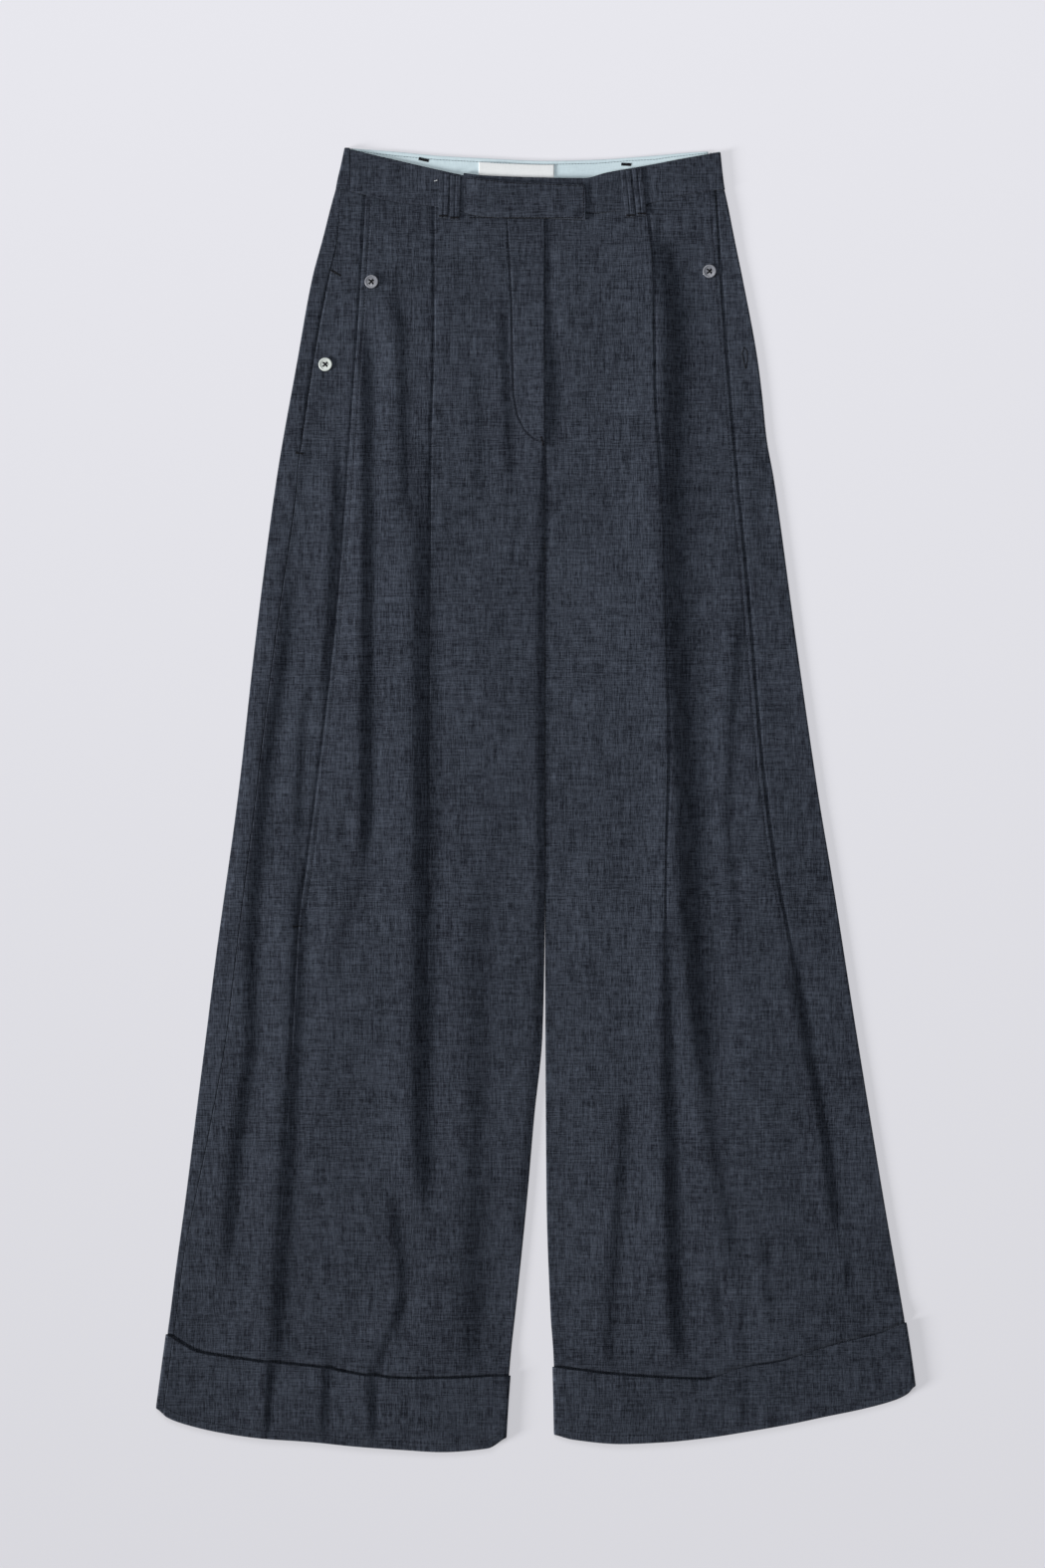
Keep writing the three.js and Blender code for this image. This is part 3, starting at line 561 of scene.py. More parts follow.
def signedVolume(mesh):
    mesh.calc_loop_triangles()
    co = np.empty(len(mesh.vertices) * 3)
    mesh.vertices.foreach_get("co", co)
    tri = np.empty(len(mesh.loop_triangles) * 3, np.int32)
    mesh.loop_triangles.foreach_get("vertices", tri)
    p = co.reshape(-1, 3)[tri.reshape(-1, 3)]
    return float(np.einsum("ij,ij->i", p[:, 0], np.cross(p[:, 1], p[:, 2])).sum() / 6)


def clothObject(name, grid, thickness, **options):
    piece = shellObject(name, grid, thickness, **options)
    if signedVolume(piece.data) < 0:
        piece.data.flip_normals()
    return piece


def addNode(tree, kind, inputs=None, **settings):
    made = tree.nodes.new(kind)
    for key, value in settings.items():
        setattr(made, key, value)
    for key, value in (inputs or {}).items():
        if isinstance(value, bpy.types.NodeSocket):
            tree.links.new(value, made.inputs[key])
        else:
            made.inputs[key].default_value = value
    return made


def newMaterial(name, roughness, **shader):
    material = bpy.data.materials.new(name)
    material.use_nodes = True
    principled = material.node_tree.nodes["Principled BSDF"]
    principled.inputs["Roughness"].default_value = roughness
    for key, value in shader.items():
        principled.inputs[key.replace("_", " ")].default_value = value
    return material, material.node_tree, principled


def stretched(tree, coordinates, scale, detail=2.0, roughness=0.5, offset=(0, 0, 0)):
    mapping = addNode(tree, "ShaderNodeMapping", {"Vector": coordinates, "Scale": scale, "Location": offset})
    noise = addNode(tree, "ShaderNodeTexNoise", {
        "Vector": mapping.outputs[0], "Scale": 1.0, "Detail": detail, "Roughness": roughness})
    return noise.outputs["Fac"]


# A middle tone, and on top of it the sum of some textures, each less its own middle and times its share.
def blendOf(tree, parts, middle=0.5):
    total = middle
    for source, share in parts:
        term = addNode(tree, "ShaderNodeMath", {0: source, 1: 0.5}, operation="SUBTRACT").outputs[0]
        total = addNode(tree, "ShaderNodeMath", {0: term, 1: share, 2: total},
                        operation="MULTIPLY_ADD").outputs[0]
    return total


# The colour between dark and light, by a tone from 0 to 1.
def paint(tree, principled, tone, dark, light):
    ramp = addNode(tree, "ShaderNodeMix", {"Factor": tone}, data_type="RGBA", clamp_factor=True)
    ramp.inputs[6].default_value = (*dark, 1)
    ramp.inputs[7].default_value = (*light, 1)
    tree.links.new(ramp.outputs[2], principled.inputs["Base Color"])


def roughen(tree, principled, height, strength, distance):
    bump = addNode(tree, "ShaderNodeBump", {"Strength": strength, "Distance": distance, "Height": height})
    tree.links.new(bump.outputs[0], principled.inputs["Normal"])


chambrayLook = {
    "dark": (0.0048, 0.0065, 0.0116),
    "light": (0.0580, 0.0692, 0.0930),
    "middle": 0.40,        # tone of even cloth
    "roughness": 0.86,
    "bump": 0.35,
    "bumpDepth": 0.0006,   # metres
    "sway": 0.0022,        # how far the threads wander, in metres
}
# Threads and blotches: how many a metre across and along, and their shares of the tone and of the bump.
chambrayThreads = table("scale detail roughness offset tone bump", [
    ((820, 34, 1), 3.0, 0.6, (0, 0, 0), 1.5, 0.45),      # warp slubs
    ((30, 700, 1), 3.0, 0.6, (3, 5, 0), 1.15, 0.45),     # weft slubs
    ((1900, 160, 1), 2.0, 0.6, (9, 1, 0), 1.7, 0.5),     # warp
    ((150, 1700, 1), 2.0, 0.6, (1, 8, 0), 1.3, 0.5),     # weft
    ((120, 75, 1), 3.0, 0.6, (4, 4, 0), 0.65, 0),        # mottling
    ((16, 9, 1), 2.0, 0.5, (7, 2, 0), 0.35, 0),          # clouds
])


def chambrayMaterial():
    look = chambrayLook
    material, tree, principled = newMaterial("chambray", look["roughness"], Specular_IOR_Level=0.12,
                                             Sheen_Weight=0.06, Sheen_Roughness=0.5)
    uv = addNode(tree, "ShaderNodeUVMap", uv_map="cloth").outputs[0]
    sway = addNode(tree, "ShaderNodeTexNoise", {"Vector": uv, "Scale": 22.0, "Detail": 1.0}).outputs["Color"]
    bend = addNode(tree, "ShaderNodeVectorMath", {0: sway, 1: (-0.5, -0.5, -0.5)}, operation="ADD").outputs[0]
    bend = addNode(tree, "ShaderNodeVectorMath", {0: bend, "Scale": look["sway"]}, operation="SCALE")
    place = addNode(tree, "ShaderNodeVectorMath", {0: uv, 1: bend.outputs[0]}, operation="ADD").outputs[0]
    tones, heights = [], []
    for threads in chambrayThreads:
        texture = stretched(tree, place, threads["scale"], threads["detail"], threads["roughness"],
                            threads["offset"])
        tones.append((texture, threads["tone"]))
        if threads["bump"]:
            heights.append((texture, threads["bump"]))
    paint(tree, principled, blendOf(tree, tones, look["middle"]), look["dark"], look["light"])
    roughen(tree, principled, blendOf(tree, heights), look["bump"], look["bumpDepth"])
    return material


def plainCloth(name, dark, light, threads, bump, roughness=0.8):
    material, tree, principled = newMaterial(name, roughness, Specular_IOR_Level=0.25, Sheen_Weight=0.1)
    uv = addNode(tree, "ShaderNodeUVMap", uv_map="cloth").outputs[0]
    warp = stretched(tree, uv, (threads, threads / 12, 1))
    weft = stretched(tree, uv, (threads / 12, threads, 1), offset=(3, 2, 0))
    broad = stretched(tree, uv, (35, 35, 1), offset=(1, 6, 0))
    tone = blendOf(tree, [(warp, 0.9), (weft, 0.9), (broad, 0.7)])
    paint(tree, principled, tone, dark, light)
    roughen(tree, principled, tone, bump, 0.0003)
    return material


def threadMaterial(name, color):
    material, tree, principled = newMaterial(name, 0.75, Specular_IOR_Level=0.15, Sheen_Weight=0.05)
    place = addNode(tree, "ShaderNodeTexCoord").outputs["Object"]
    noise = addNode(tree, "ShaderNodeTexNoise", {"Vector": place, "Scale": 1500.0, "Detail": 1.0})
    paint(tree, principled, noise.outputs["Fac"], [0.6 * c for c in color], [1.4 * c for c in color])
    return material


def resinMaterial(name, dark, light, roughness):
    material, tree, principled = newMaterial(name, roughness, Coat_Weight=0.3, Coat_Roughness=0.15)
    place = addNode(tree, "ShaderNodeTexCoord").outputs["Object"]
    noise = addNode(tree, "ShaderNodeTexNoise", {
        "Vector": place, "Scale": 260.0, "Detail": 3.0, "Distortion": 1.2})
    paint(tree, principled, noise.outputs["Fac"], dark, light)
    return material


chambray = chambrayMaterial()
facingCotton = plainCloth("mintCotton", (0.46, 0.56, 0.60), (0.60, 0.72, 0.76), 1500, 0.2)
labelRibbon = plainCloth("creamRibbon", (0.66, 0.68, 0.68), (0.78, 0.80, 0.80), 1800, 0.25, 0.55)
navyThread = threadMaterial("navyThread", (0.010, 0.012, 0.020))
blackThread = threadMaterial("blackThread", (0.004, 0.004, 0.006))
paleThread = threadMaterial("paleThread", (0.62, 0.64, 0.66))
greyThread = threadMaterial("greyThread", (0.20, 0.26, 0.28))
greyResin = resinMaterial("greyResin", (0.12, 0.125, 0.145), (0.21, 0.22, 0.25), 0.42)
creamResin = resinMaterial("creamResin", (0.47, 0.51, 0.48), (0.60, 0.64, 0.61), 0.38)
print("materials made")


def finishPiece(piece, material, node=None):
    piece.data.materials.clear()
    piece.data.materials.append(material)
    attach(piece, "root")
    if node:
        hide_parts(node)
    return piece


# The rows of a leg's grid, as shares of its length, closer together at the crotch and at the turn-up's edge.
def legShares(low, high, count):
    spread = np.linspace(low, high, count)
    crotch = legSizes["crotchShare"]
    extra = np.linspace(crotch - 0.012, crotch + legSizes["partShare"] + 0.008, 10)
    ditch = legSizes["cuffShare"] + np.linspace(-0.0065, 0.0015, 11)
    return np.unique(np.round(np.concatenate([spread, extra, ditch]), 6))


hem = legSizes["hemShare"]
shares = legShares(-legSizes["underBand"] * hem, 1 - 2.3 * hem, legSizes["rows"])
cuffShares = np.concatenate([legSizes["cuffShare"] + np.array([0, 0.0002, 0.0006, 0.0015]),
                             np.linspace(legSizes["cuffShare"] + 0.004, 1 - 3 * hem, 15),
                             1 - hem * np.array([2.2, 1.7, 1.3, 0.9, 0.65, 0.5])])
hemTurn = clothSizes["ply"] * np.concatenate([np.zeros(20), [0.02, 0.08, 0.22, 0.36, 0.52]])   # rolls under


def legPiece(name, node, pathOf, leg):
    grid = legGrid(pathOf, leg, shares, reliefSizes["ditch"])
    return finishPiece(clothObject(name, grid, clothSizes["thickness"]), chambray, node)


def turnUp(name, node, pathOf, leg):
    positions, normals = legGrid(pathOf, leg, cuffShares)
    positions = positions - normals * hemTurn[:, None, None]
    grid = positions, normals
    piece = clothObject(name, grid, clothSizes["thickness"], shift=clothSizes["ply"])
    return finishPiece(piece, chambray, node)


frontRight = legPiece("front_right_cloth", "front_right", frontPath, rightLeg)
frontLeft = legPiece("front_left_cloth", "front_left", frontPath, leftLeg)
backRight = legPiece("back_right_cloth", "back_right", backPath, rightLeg)
backLeft = legPiece("back_left_cloth", "back_left", backPath, leftLeg)
cuffPieces = {
    node: turnUp(node + "_cloth", node, pathOf, leg)
    for node, pathOf, leg in (
        ("turnup_front_right", frontPath, rightLeg), ("turnup_front_left", frontPath, leftLeg),
        ("turnup_back_right", backPath, rightLeg), ("turnup_back_left", backPath, leftLeg))
}
print("legs made")

bandSizes = {
    "wall": 1.5,
    "backWall": 0.9,
    "rim": 0.35,
    "level": 3.9,          # middle of the band at the sides
    "wrapLevel": 0.8,      # of what wraps round the left fold, on the underside
    "wrapThickness": 1.6,
    "wrapUnder": 8,        # it runs on under the fold by this much
    "underLevel": 4.8,     # of the underlap
    "tabLevel": 6.7,       # of the tab that laps over it
    "tabSink": 1.5,        # it sinks by this at the seam
    "facingLevel": 1.8,
    "facingWall": 0.9,
    "labelLevel": 3.1,
    "labelWall": 0.7,
}
frontTop = table("x y", [(-164.3, 562.7), (-148, 558.4), (-118.7, 551.5), (-89.4, 544.7), (-62, 538.6),
                         (-50.7, 536), (-20, 533), (10, 531.8), (43, 530.4)])
frontSeam = waistEdge(rightLeg, "seam")[::-1] + [{"x": 43, "y": 500}]
underTop = table("x y", [(-62, 540.6), (-44, 538.6), (0, 536.9), (43, 536.3), (60, 540.7), (97.2, 547.4),
                         (126.4, 553), (159.5, 559)])
underSeam = [{"x": -62, "y": 508}, {"x": 20, "y": 506}]
underSeam += [point for point in waistEdge(leftLeg, "seam") if point["x"] > 45]
backTop = table("x y", [(-164.3, 562.7), (-120, 559.3), (-85, 556), (-50, 554), (10, 551.5), (52, 552.4),
                        (103, 556), (145, 559.4), (159.5, 559.8)])
backSeam = waistEdge(rightLeg, "back")[::-1] + waistEdge(leftLeg, "back")
bandSides = table("y right left", [(563, -164.8, 159.4), (548, -168, 160.8), (534, -171.2, 162.4),
                                   (526, -172.6, 163.6)])


def bandGrid(seam, top, depths, out, pathAt):
    positions = []
    for share in depths:
        def height(w):
            return mix(at(seam, out * w, "y", "x"), at(top, out * w, "y", "x"), share)
        fine = cutCorners(np.array(pathAt(share, height), float), 2)
        y = np.array([height(w) for w in fine[:, 0]])
        positions.append(np.stack([out * fine[:, 0], y, fine[:, 1]], axis=1))
    positions = np.array(positions)
    return positions, sectionNormals(positions, out)


# Shares of the band's depth, closer together at its edges.
bandDepths = [0, 0.012, 0.04, 0.1, 0.18, 0.3, 0.45, 0.6, 0.75, 0.88, 0.955, 0.985, 1]
facingDepths = [0.03, 0.05, 0.2, 0.5, 0.8, 0.96, 0.985, 1]
labelDepths = [0.1, 0.12, 0.3, 0.5, 0.7, 0.88, 0.9]


def bandRightPath(share, height):
    columns = [-160, -159.5, -150, -140, -129, -118, -106, -95, -86, -80, -72, -66, -62, -58, -54, -50,
               -44, -38, -25, -12, 0, 12, 24, 34, 40, 42.6, 43]
    tab = mix(bandSizes["tabLevel"] - bandSizes["tabSink"], bandSizes["tabLevel"], float(ease(share / 0.12)))
    return [(-x, mix(bandSizes["level"], tab, float(ease((x + 66) / 18)))) for x in columns]


def bandLeftPath(share, height):
    columns = [148, 137, 125, 115, 105, 97, 90, 83, 76, 70, 62, 52, 43, 32, 20, 8,
               -4, -15, -25, -35, -48, -61.5, -62]
    level, under = bandSizes["level"], bandSizes["underLevel"]
    low = bandSizes["wrapLevel"]
    roll = outerRoll(at(bandSides, height(160), "left"), low, level, bandSizes["wrapThickness"])
    front = [(x, mix(level, under, float(ease((80 - x) / 30)))) for x in columns]
    return [(roll[0][0] - bandSizes["wrapUnder"], low)] + roll + front


def bandBackPath(share, height):
    level, rest = bandSizes["level"], legSizes["rest"]
    outer = -at(bandSides, height(166), "right")
    run = [(w, rest) for w in (-148, -147.5, -130, -110, -85, -60, -30, 0, 30, 60, 90, 120, 145)]
    return run + outerRoll(outer, rest, level, 1.0) + [(160 + clothSizes["seamGap"], level)]


def stripPath(start, end, level):
    return lambda share, height: [(-mix(start, end, t), level) for t in np.linspace(0, 1, 12)]


def bandPiece(name, node, grid, wall, material=chambray, rim=clothSizes["rim"]):
    return finishPiece(clothObject(name, grid, wall, rim=rim), material, node)


rightGrid = bandGrid(frontSeam, frontTop, bandDepths, -1, bandRightPath)
leftGrid = bandGrid(underSeam, underTop, bandDepths, 1, bandLeftPath)
backGrid = bandGrid(backSeam, backTop, bandDepths, -1, bandBackPath)
facingGrid = bandGrid(backSeam, backTop, facingDepths, -1, stripPath(-158, 149, bandSizes["facingLevel"]))
labelGrid = bandGrid(backSeam, backTop, labelDepths, -1, stripPath(-49, 16, bandSizes["labelLevel"]))
bandRight = bandPiece("band_right_cloth", "band_right", rightGrid, bandSizes["wall"], rim=bandSizes["rim"])
bandLeft = bandPiece("band_left_cloth", "band_left", leftGrid, bandSizes["wall"], rim=bandSizes["rim"])
bandBack = bandPiece("band_back_cloth", "band_back", backGrid, bandSizes["backWall"])
facing = bandPiece("facing_cloth", "band_facing", facingGrid, bandSizes["facingWall"], facingCotton)
label = bandPiece("label_ribbon", "label_patch", labelGrid, bandSizes["labelWall"], labelRibbon)
print("waistband made")


# The height of the cloth above the floor at a place, seen from above.
def surfaceOf(*pieces):
    trees = [BVHTree.FromPolygons([v.co for v in p.data.vertices], [f.vertices for f in p.data.polygons])
             for p in pieces]

    def top(x, y):
        found = [tree.ray_cast(Vector((x * mm, y * mm, 0.05)), Vector((0, 0, -1)))[0] for tree in trees]
        return max([hit.z / mm for hit in found if hit is not None], default=2.0)
    return top


overFronts = surfaceOf(frontRight, frontLeft)
overWaist = surfaceOf(frontRight, frontLeft, bandRight, bandLeft)


def flatNormals(positions):
    normals = np.zeros_like(positions)
    normals[..., 2] = 1
    return normals


flyShape = table("y outer opening", [
    (501.2, -27.5, 7.7), (470, -25.5, 7.7), (430, -23.5, 7.7), (390, -22.7, 7.7), (350, -21.5, 7.7),
    (330, -18, 7.7), (317, -11.5, 7.7), (309, -2, 7.7), (305.5, 5, 7.7)])
flyLine = [(-24.6, 501), (-22.6, 470), (-20.6, 430), (-19.8, 390), (-18.6, 350), (-15.6, 332), (-9.4, 319),
           (-2, 312), (3, 309.6), (7.4, 309)]
flySizes = {"top": 501.2, "bottom": 305.5, "rise": 0.3, "rim": 0.3, "groove": 0.75, "grooveWidth": 0.8}


def distanceTo(line, x, y):
    best = np.full(np.shape(x), 1e9)
    for (ax, ay), (bx, by) in zip(line[:-1], line[1:]):
        length = (bx - ax) ** 2 + (by - ay) ** 2
        t = np.clip(((x - ax) * (bx - ax) + (y - ay) * (by - ay)) / length, 0, 1)
        best = np.minimum(best, np.hypot(x - ax - t * (bx - ax), y - ay - t * (by - ay)))
    return best


def flyGrid():
    positions = []
    near = np.concatenate([[0, 0.004, 0.012], np.linspace(0.025, 0.16, 13), np.linspace(0.2, 0.96, 16),
                           [0.985, 1]])
    for t in np.linspace(0, 1, 150):
        y = mix(flySizes["top"], flySizes["bottom"], 1 - (1 - t) ** 1.5)
        outer, opening = at(flyShape, y, "outer"), at(flyShape, y, "opening")
        positions.append([(x, y, overFronts(x, y)) for x in mix(outer, opening, near)])
    positions = np.array(positions)
    for i in range(3):
        positions[1:-1, :, 2] = (positions[:-2, :, 2] + 2 * positions[1:-1, :, 2] + positions[2:, :, 2]) / 4
    off = distanceTo(flyLine, positions[..., 0], positions[..., 1]) / flySizes["grooveWidth"]
    positions[..., 2] -= flySizes["groove"] * np.exp(-off * off)
    return positions, flatNormals(positions)


flyCloth = clothObject("fly_cloth", flyGrid(), clothSizes["thickness"], shift=flySizes["rise"],
                       rim=flySizes["rim"])
fly = finishPiece(flyCloth, chambray, "fly_placket")

loopSizes = {
    "width": 9,
    "foot": 0.94,          # width at the lower end, as a share
    "thickness": 1.0,
    "rise": 0.9,           # middle of the strip above the cloth
    "rim": 0.4,
    "crown": 0.25,
    "groove": 0.45,        # along the middle, where the folded edges meet
    "grooveWidth": 0.06,   # as a share of the width
}
loops = table("node topX topY bottomX bottomY", [
    ("loop_right_1", -78.6, 540.6, -79.6, 501.8), ("loop_right_2", -68.8, 538.4, -69.8, 500.2),
    ("loop_left_1", 77.6, 543.2, 82, 502.4), ("loop_left_2", 87.6, 544.6, 91.6, 503.8)])


def loopGrid(loop):
    positions = []
    half = [0.05, 0.1, 0.18, 0.3, 0.42, 0.49, 0.5]
    side = np.array([-share for share in half[::-1]] + [0] + half)
    for t in np.concatenate([[0, 0.01, 0.03], np.linspace(0.07, 0.93, 26), [0.97, 0.99, 1]]):
        x, y = mix(loop["topX"], loop["bottomX"], t), mix(loop["topY"], loop["bottomY"], t)
        z = max(overWaist(x + dx, y + dy) for dx in (-4.5, 0, 4.5) for dy in (-4, 0, 4))
        groove = loopSizes["groove"] * np.exp(-(side / loopSizes["grooveWidth"]) ** 2)
        profile = loopSizes["crown"] * (1 - (2 * side) ** 4) - groove
        across = side * loopSizes["width"] * mix(1, loopSizes["foot"], t)
        positions.append(np.stack([x + across, np.full(len(side), y), z + profile], axis=1))
    positions = np.array(positions)
    for i in range(4):
        positions[1:-1, :, 2] = np.maximum(positions[1:-1, :, 2],
                                           (positions[:-2, :, 2] + positions[2:, :, 2]) / 2)
    return positions, flatNormals(positions)


def loopPiece(loop):
    strip = clothObject(loop["node"] + "_cloth", loopGrid(loop), loopSizes["thickness"],
                        shift=loopSizes["rise"], rim=loopSizes["rim"])
    return finishPiece(strip, chambray, loop["node"])


loopPieces = {loop["node"]: loopPiece(loop) for loop in loops}
print("fly and loops made")


buttonSizes = {
    "radius": 5.85,
    "height": 2.0,
    "dish": 0.4,
    "hole": 0.75,          # radius of each of the four holes
    "spread": 1.5,         # from the button's middle to a hole's, each way
    "thread": 0.27,
    "threadApart": 0.42,
    "threadRise": 0.42,
    "threadCross": 0.16,   # the second pair of strands lies this much higher
    "steps": 56,
}
buttons = table("node x y slot", [
    ("button_front_right", -141.5, 446.6, "grey_button"),
    ("button_front_left", 150.2, 456, "grey_button"),
    ("button_pocket", -181.3, 375.4, "cream_button")])


def latheMesh(name, profile, steps):
    points, faces = [], []
    for k in range(steps):
        a = 2 * math.pi * k / steps
        points += [(r * math.cos(a), r * math.sin(a), z) for r, z in profile]
    n = len(profile)
    for k in range(steps):
        for j in range(n - 1):
            a, b = k * n + j, ((k + 1) % steps) * n + j
            faces.append((a, b, b + 1, a + 1))
    low, high = len(points), len(points) + 1
    points += [(0, 0, profile[0][1]), (0, 0, profile[-1][1])]
    for k in range(steps):
        a, b = k * n, ((k + 1) % steps) * n
        faces += [(low, b, a), (high, a + n - 1, b + n - 1)]
    mesh = bpy.data.meshes.new(name)
    mesh.from_pydata(points, [], faces)
    return mesh


def evaluatedCopy(source, name):
    graph = bpy.context.evaluated_depsgraph_get()
    mesh = bpy.data.meshes.new_from_object(source.evaluated_get(graph), depsgraph=graph)
    made = bpy.data.objects.new(name, mesh)
    bpy.context.scene.collection.objects.link(made)
    bpy.data.objects.remove(source)
    return made


def buttonPiece(row):
    s = buttonSizes
    r, h = s["radius"], s["height"]
    profile = [(0.4, 0), (r - 1.3, 0), (r - 0.6, 0.25), (r - 0.1, 0.8), (r, 1.3), (r - 0.08, h - 0.45),
               (r - 0.3, h - 0.12), (r - 0.6, h), (r - 0.95, h - 0.03), (r - 1.35, h - 0.3 * s["dish"]),
               (r - 1.8, h - 0.75 * s["dish"]), (r - 2.3, h - s["dish"]), (0.4, h - s["dish"] - 0.04)]
    mesh = latheMesh(row["node"] + "_resin", [(a * mm, b * mm) for a, b in profile], s["steps"])
    disc = bpy.data.objects.new(row["node"] + "_disc", mesh)
    bpy.context.scene.collection.objects.link(disc)
    cutters = []
    for i, j in ((1, 1), (1, -1), (-1, 1), (-1, -1)):
        cut = latheMesh("cut", [(s["hole"] * mm, -2 * mm), (s["hole"] * mm, 5 * mm)], 16)
        cut.transform(Matrix.Translation((i * s["spread"] * mm, j * s["spread"] * mm, 0)))
        cutter = bpy.data.objects.new("cut", cut)
        bpy.context.scene.collection.objects.link(cutter)
        cutters.append(cutter)
        hole = disc.modifiers.new("hole", "BOOLEAN")
        hole.operation, hole.solver, hole.object = "DIFFERENCE", "EXACT", cutter
    bpy.context.view_layer.update()
    piece = evaluatedCopy(disc, row["node"] + "_resin")
    for cutter in cutters:
        bpy.data.objects.remove(cutter)
    rim = [(row["x"] + r * math.cos(a), row["y"] + r * math.sin(a)) for a in np.linspace(0, 6.28, 12)]
    base = max(overFronts(x, y) for x, y in rim) + 0.1
    piece.data.transform(Matrix.Translation((row["x"] * mm, row["y"] * mm, base * mm)))
    piece.data.shade_smooth()
    resin = creamResin if row["slot"] == "cream_button" else greyResin
    finishPiece(piece, resin, row["node"])
    return base


def tube(name, path, radius):
    curve = bpy.data.curves.new(name, "CURVE")
    curve.dimensions = "3D"
    curve.bevel_depth, curve.bevel_resolution, curve.use_fill_caps = radius * mm, 2, True
    spline = curve.splines.new("POLY")
    spline.points.add(len(path) - 1)
    for point, place in zip(spline.points, path):
        point.co = (*[v * mm for v in place], 1)
    holder = bpy.data.objects.new(name, curve)
    bpy.context.scene.collection.objects.link(holder)
    bpy.context.view_layer.update()
    return evaluatedCopy(holder, name)


def joined(name, pieces):
    bpy.ops.object.select_all(action="DESELECT")
    for piece in pieces:
        piece.select_set(True)
    bpy.context.view_layer.objects.active = pieces[0]
    bpy.ops.object.join()
    pieces[0].name = name
    return pieces[0]


def buttonThread(row, base):
    s = buttonSizes
    deck = base + s["height"] - s["dish"]
    strands = []
    for i, (dx, dy) in enumerate(((1, 1), (1, -1))):
        for offset in (-s["threadApart"], 0, s["threadApart"]):
            x, y = row["x"] - dy * offset * 0.7, row["y"] + dx * offset * 0.7
            path = []
            for t in np.linspace(-1, 1, 9):
                lift = s["threadRise"] * (1 - t * t) + s["threadCross"] * i
                sink = -1.0 if abs(t) == 1 else 0
                path.append((x + t * dx * s["spread"], y + t * dy * s["spread"], deck + lift + sink))
            strands.append(tube("strand", path, s["thread"]))
    return joined(row["node"] + "_thread", strands)


for row in buttons:
    base = buttonPiece(row)
    finishPiece(buttonThread(row, base), blackThread)
print("buttons made")


stitchSizes = {
    "pitch": 3.2,
    "length": 2.5,
    "radius": 0.24,
    "turn": 0.0,           # away from the seam's own direction, in radians
    "wander": 0.09,        # each stitch is turned by up to this much more, either way
    "lift": 0.1,
    "seed": 3,
}


def stitchTree():
    tree = bpy.data.node_groups.new("stitches", "GeometryNodeTree")
    face = tree.interface
    face.new_socket("Geometry", in_out="INPUT", socket_type="NodeSocketGeometry")
    for name in ("Pitch", "Length", "Radius", "Turn"):
        face.new_socket(name, in_out="INPUT", socket_type="NodeSocketFloat")
    face.new_socket("Seed", in_out="INPUT", socket_type="NodeSocketInt")
    face.new_socket("Thread", in_out="INPUT", socket_type="NodeSocketMaterial")
    face.new_socket("Geometry", in_out="OUTPUT", socket_type="NodeSocketGeometry")
    source = addNode(tree, "NodeGroupInput")
    inputs = source.outputs
    line = addNode(tree, "GeometryNodeMeshToCurve", {"Mesh": inputs["Geometry"]})
    spaced = addNode(tree, "GeometryNodeResampleCurve", {"Curve": line.outputs[0]})
    spaced.mode = "LENGTH"
    tree.links.new(inputs["Pitch"], spaced.inputs["Length"])
    ball = addNode(tree, "GeometryNodeMeshUVSphere", {"Segments": 6, "Rings": 5, "Radius": 1.0})
    halfLength = addNode(tree, "ShaderNodeMath", {0: inputs["Length"], 1: 0.5}, operation="MULTIPLY")
    size = addNode(tree, "ShaderNodeCombineXYZ", {
        0: inputs["Radius"], 1: inputs["Radius"], 2: halfLength.outputs[0]})
    bead = addNode(tree, "GeometryNodeTransform", {
        "Geometry": ball.outputs["Mesh"], "Scale": size.outputs[0]})
    tangent = addNode(tree, "GeometryNodeInputTangent")
    spin = addNode(tree, "FunctionNodeRandomValue", {"Seed": inputs["Seed"]}, data_type="FLOAT")
    spin.inputs[2].default_value = -stitchSizes["wander"]
    spin.inputs[3].default_value = stitchSizes["wander"]
    turned = addNode(tree, "ShaderNodeMath", {0: inputs["Turn"], 1: spin.outputs[1]}, operation="ADD")
    heading = addNode(tree, "ShaderNodeVectorRotate", {
        "Vector": tangent.outputs[0], "Axis": (0, 0, 1), "Angle": turned.outputs[0]
    }, rotation_type="AXIS_ANGLE")
    aligned = addNode(tree, "FunctionNodeAlignRotationToVector", {"Vector": heading.outputs[0]}, axis="Z")
    placed = addNode(tree, "GeometryNodeInstanceOnPoints", {
        "Points": spaced.outputs[0], "Instance": bead.outputs[0], "Rotation": aligned.outputs[0]})
    real = addNode(tree, "GeometryNodeRealizeInstances", {"Geometry": placed.outputs[0]})
    painted = addNode(tree, "GeometryNodeSetMaterial", {
        "Geometry": real.outputs[0], "Material": inputs["Thread"]})
    sink = addNode(tree, "NodeGroupOutput")
    tree.links.new(painted.outputs[0], sink.inputs[0])
    return tree


stitches = stitchTree()
sockets = [item for item in stitches.interface.items_tree if item.in_out == "INPUT"]
stitchInputs = {socket.name: socket.identifier for socket in sockets}


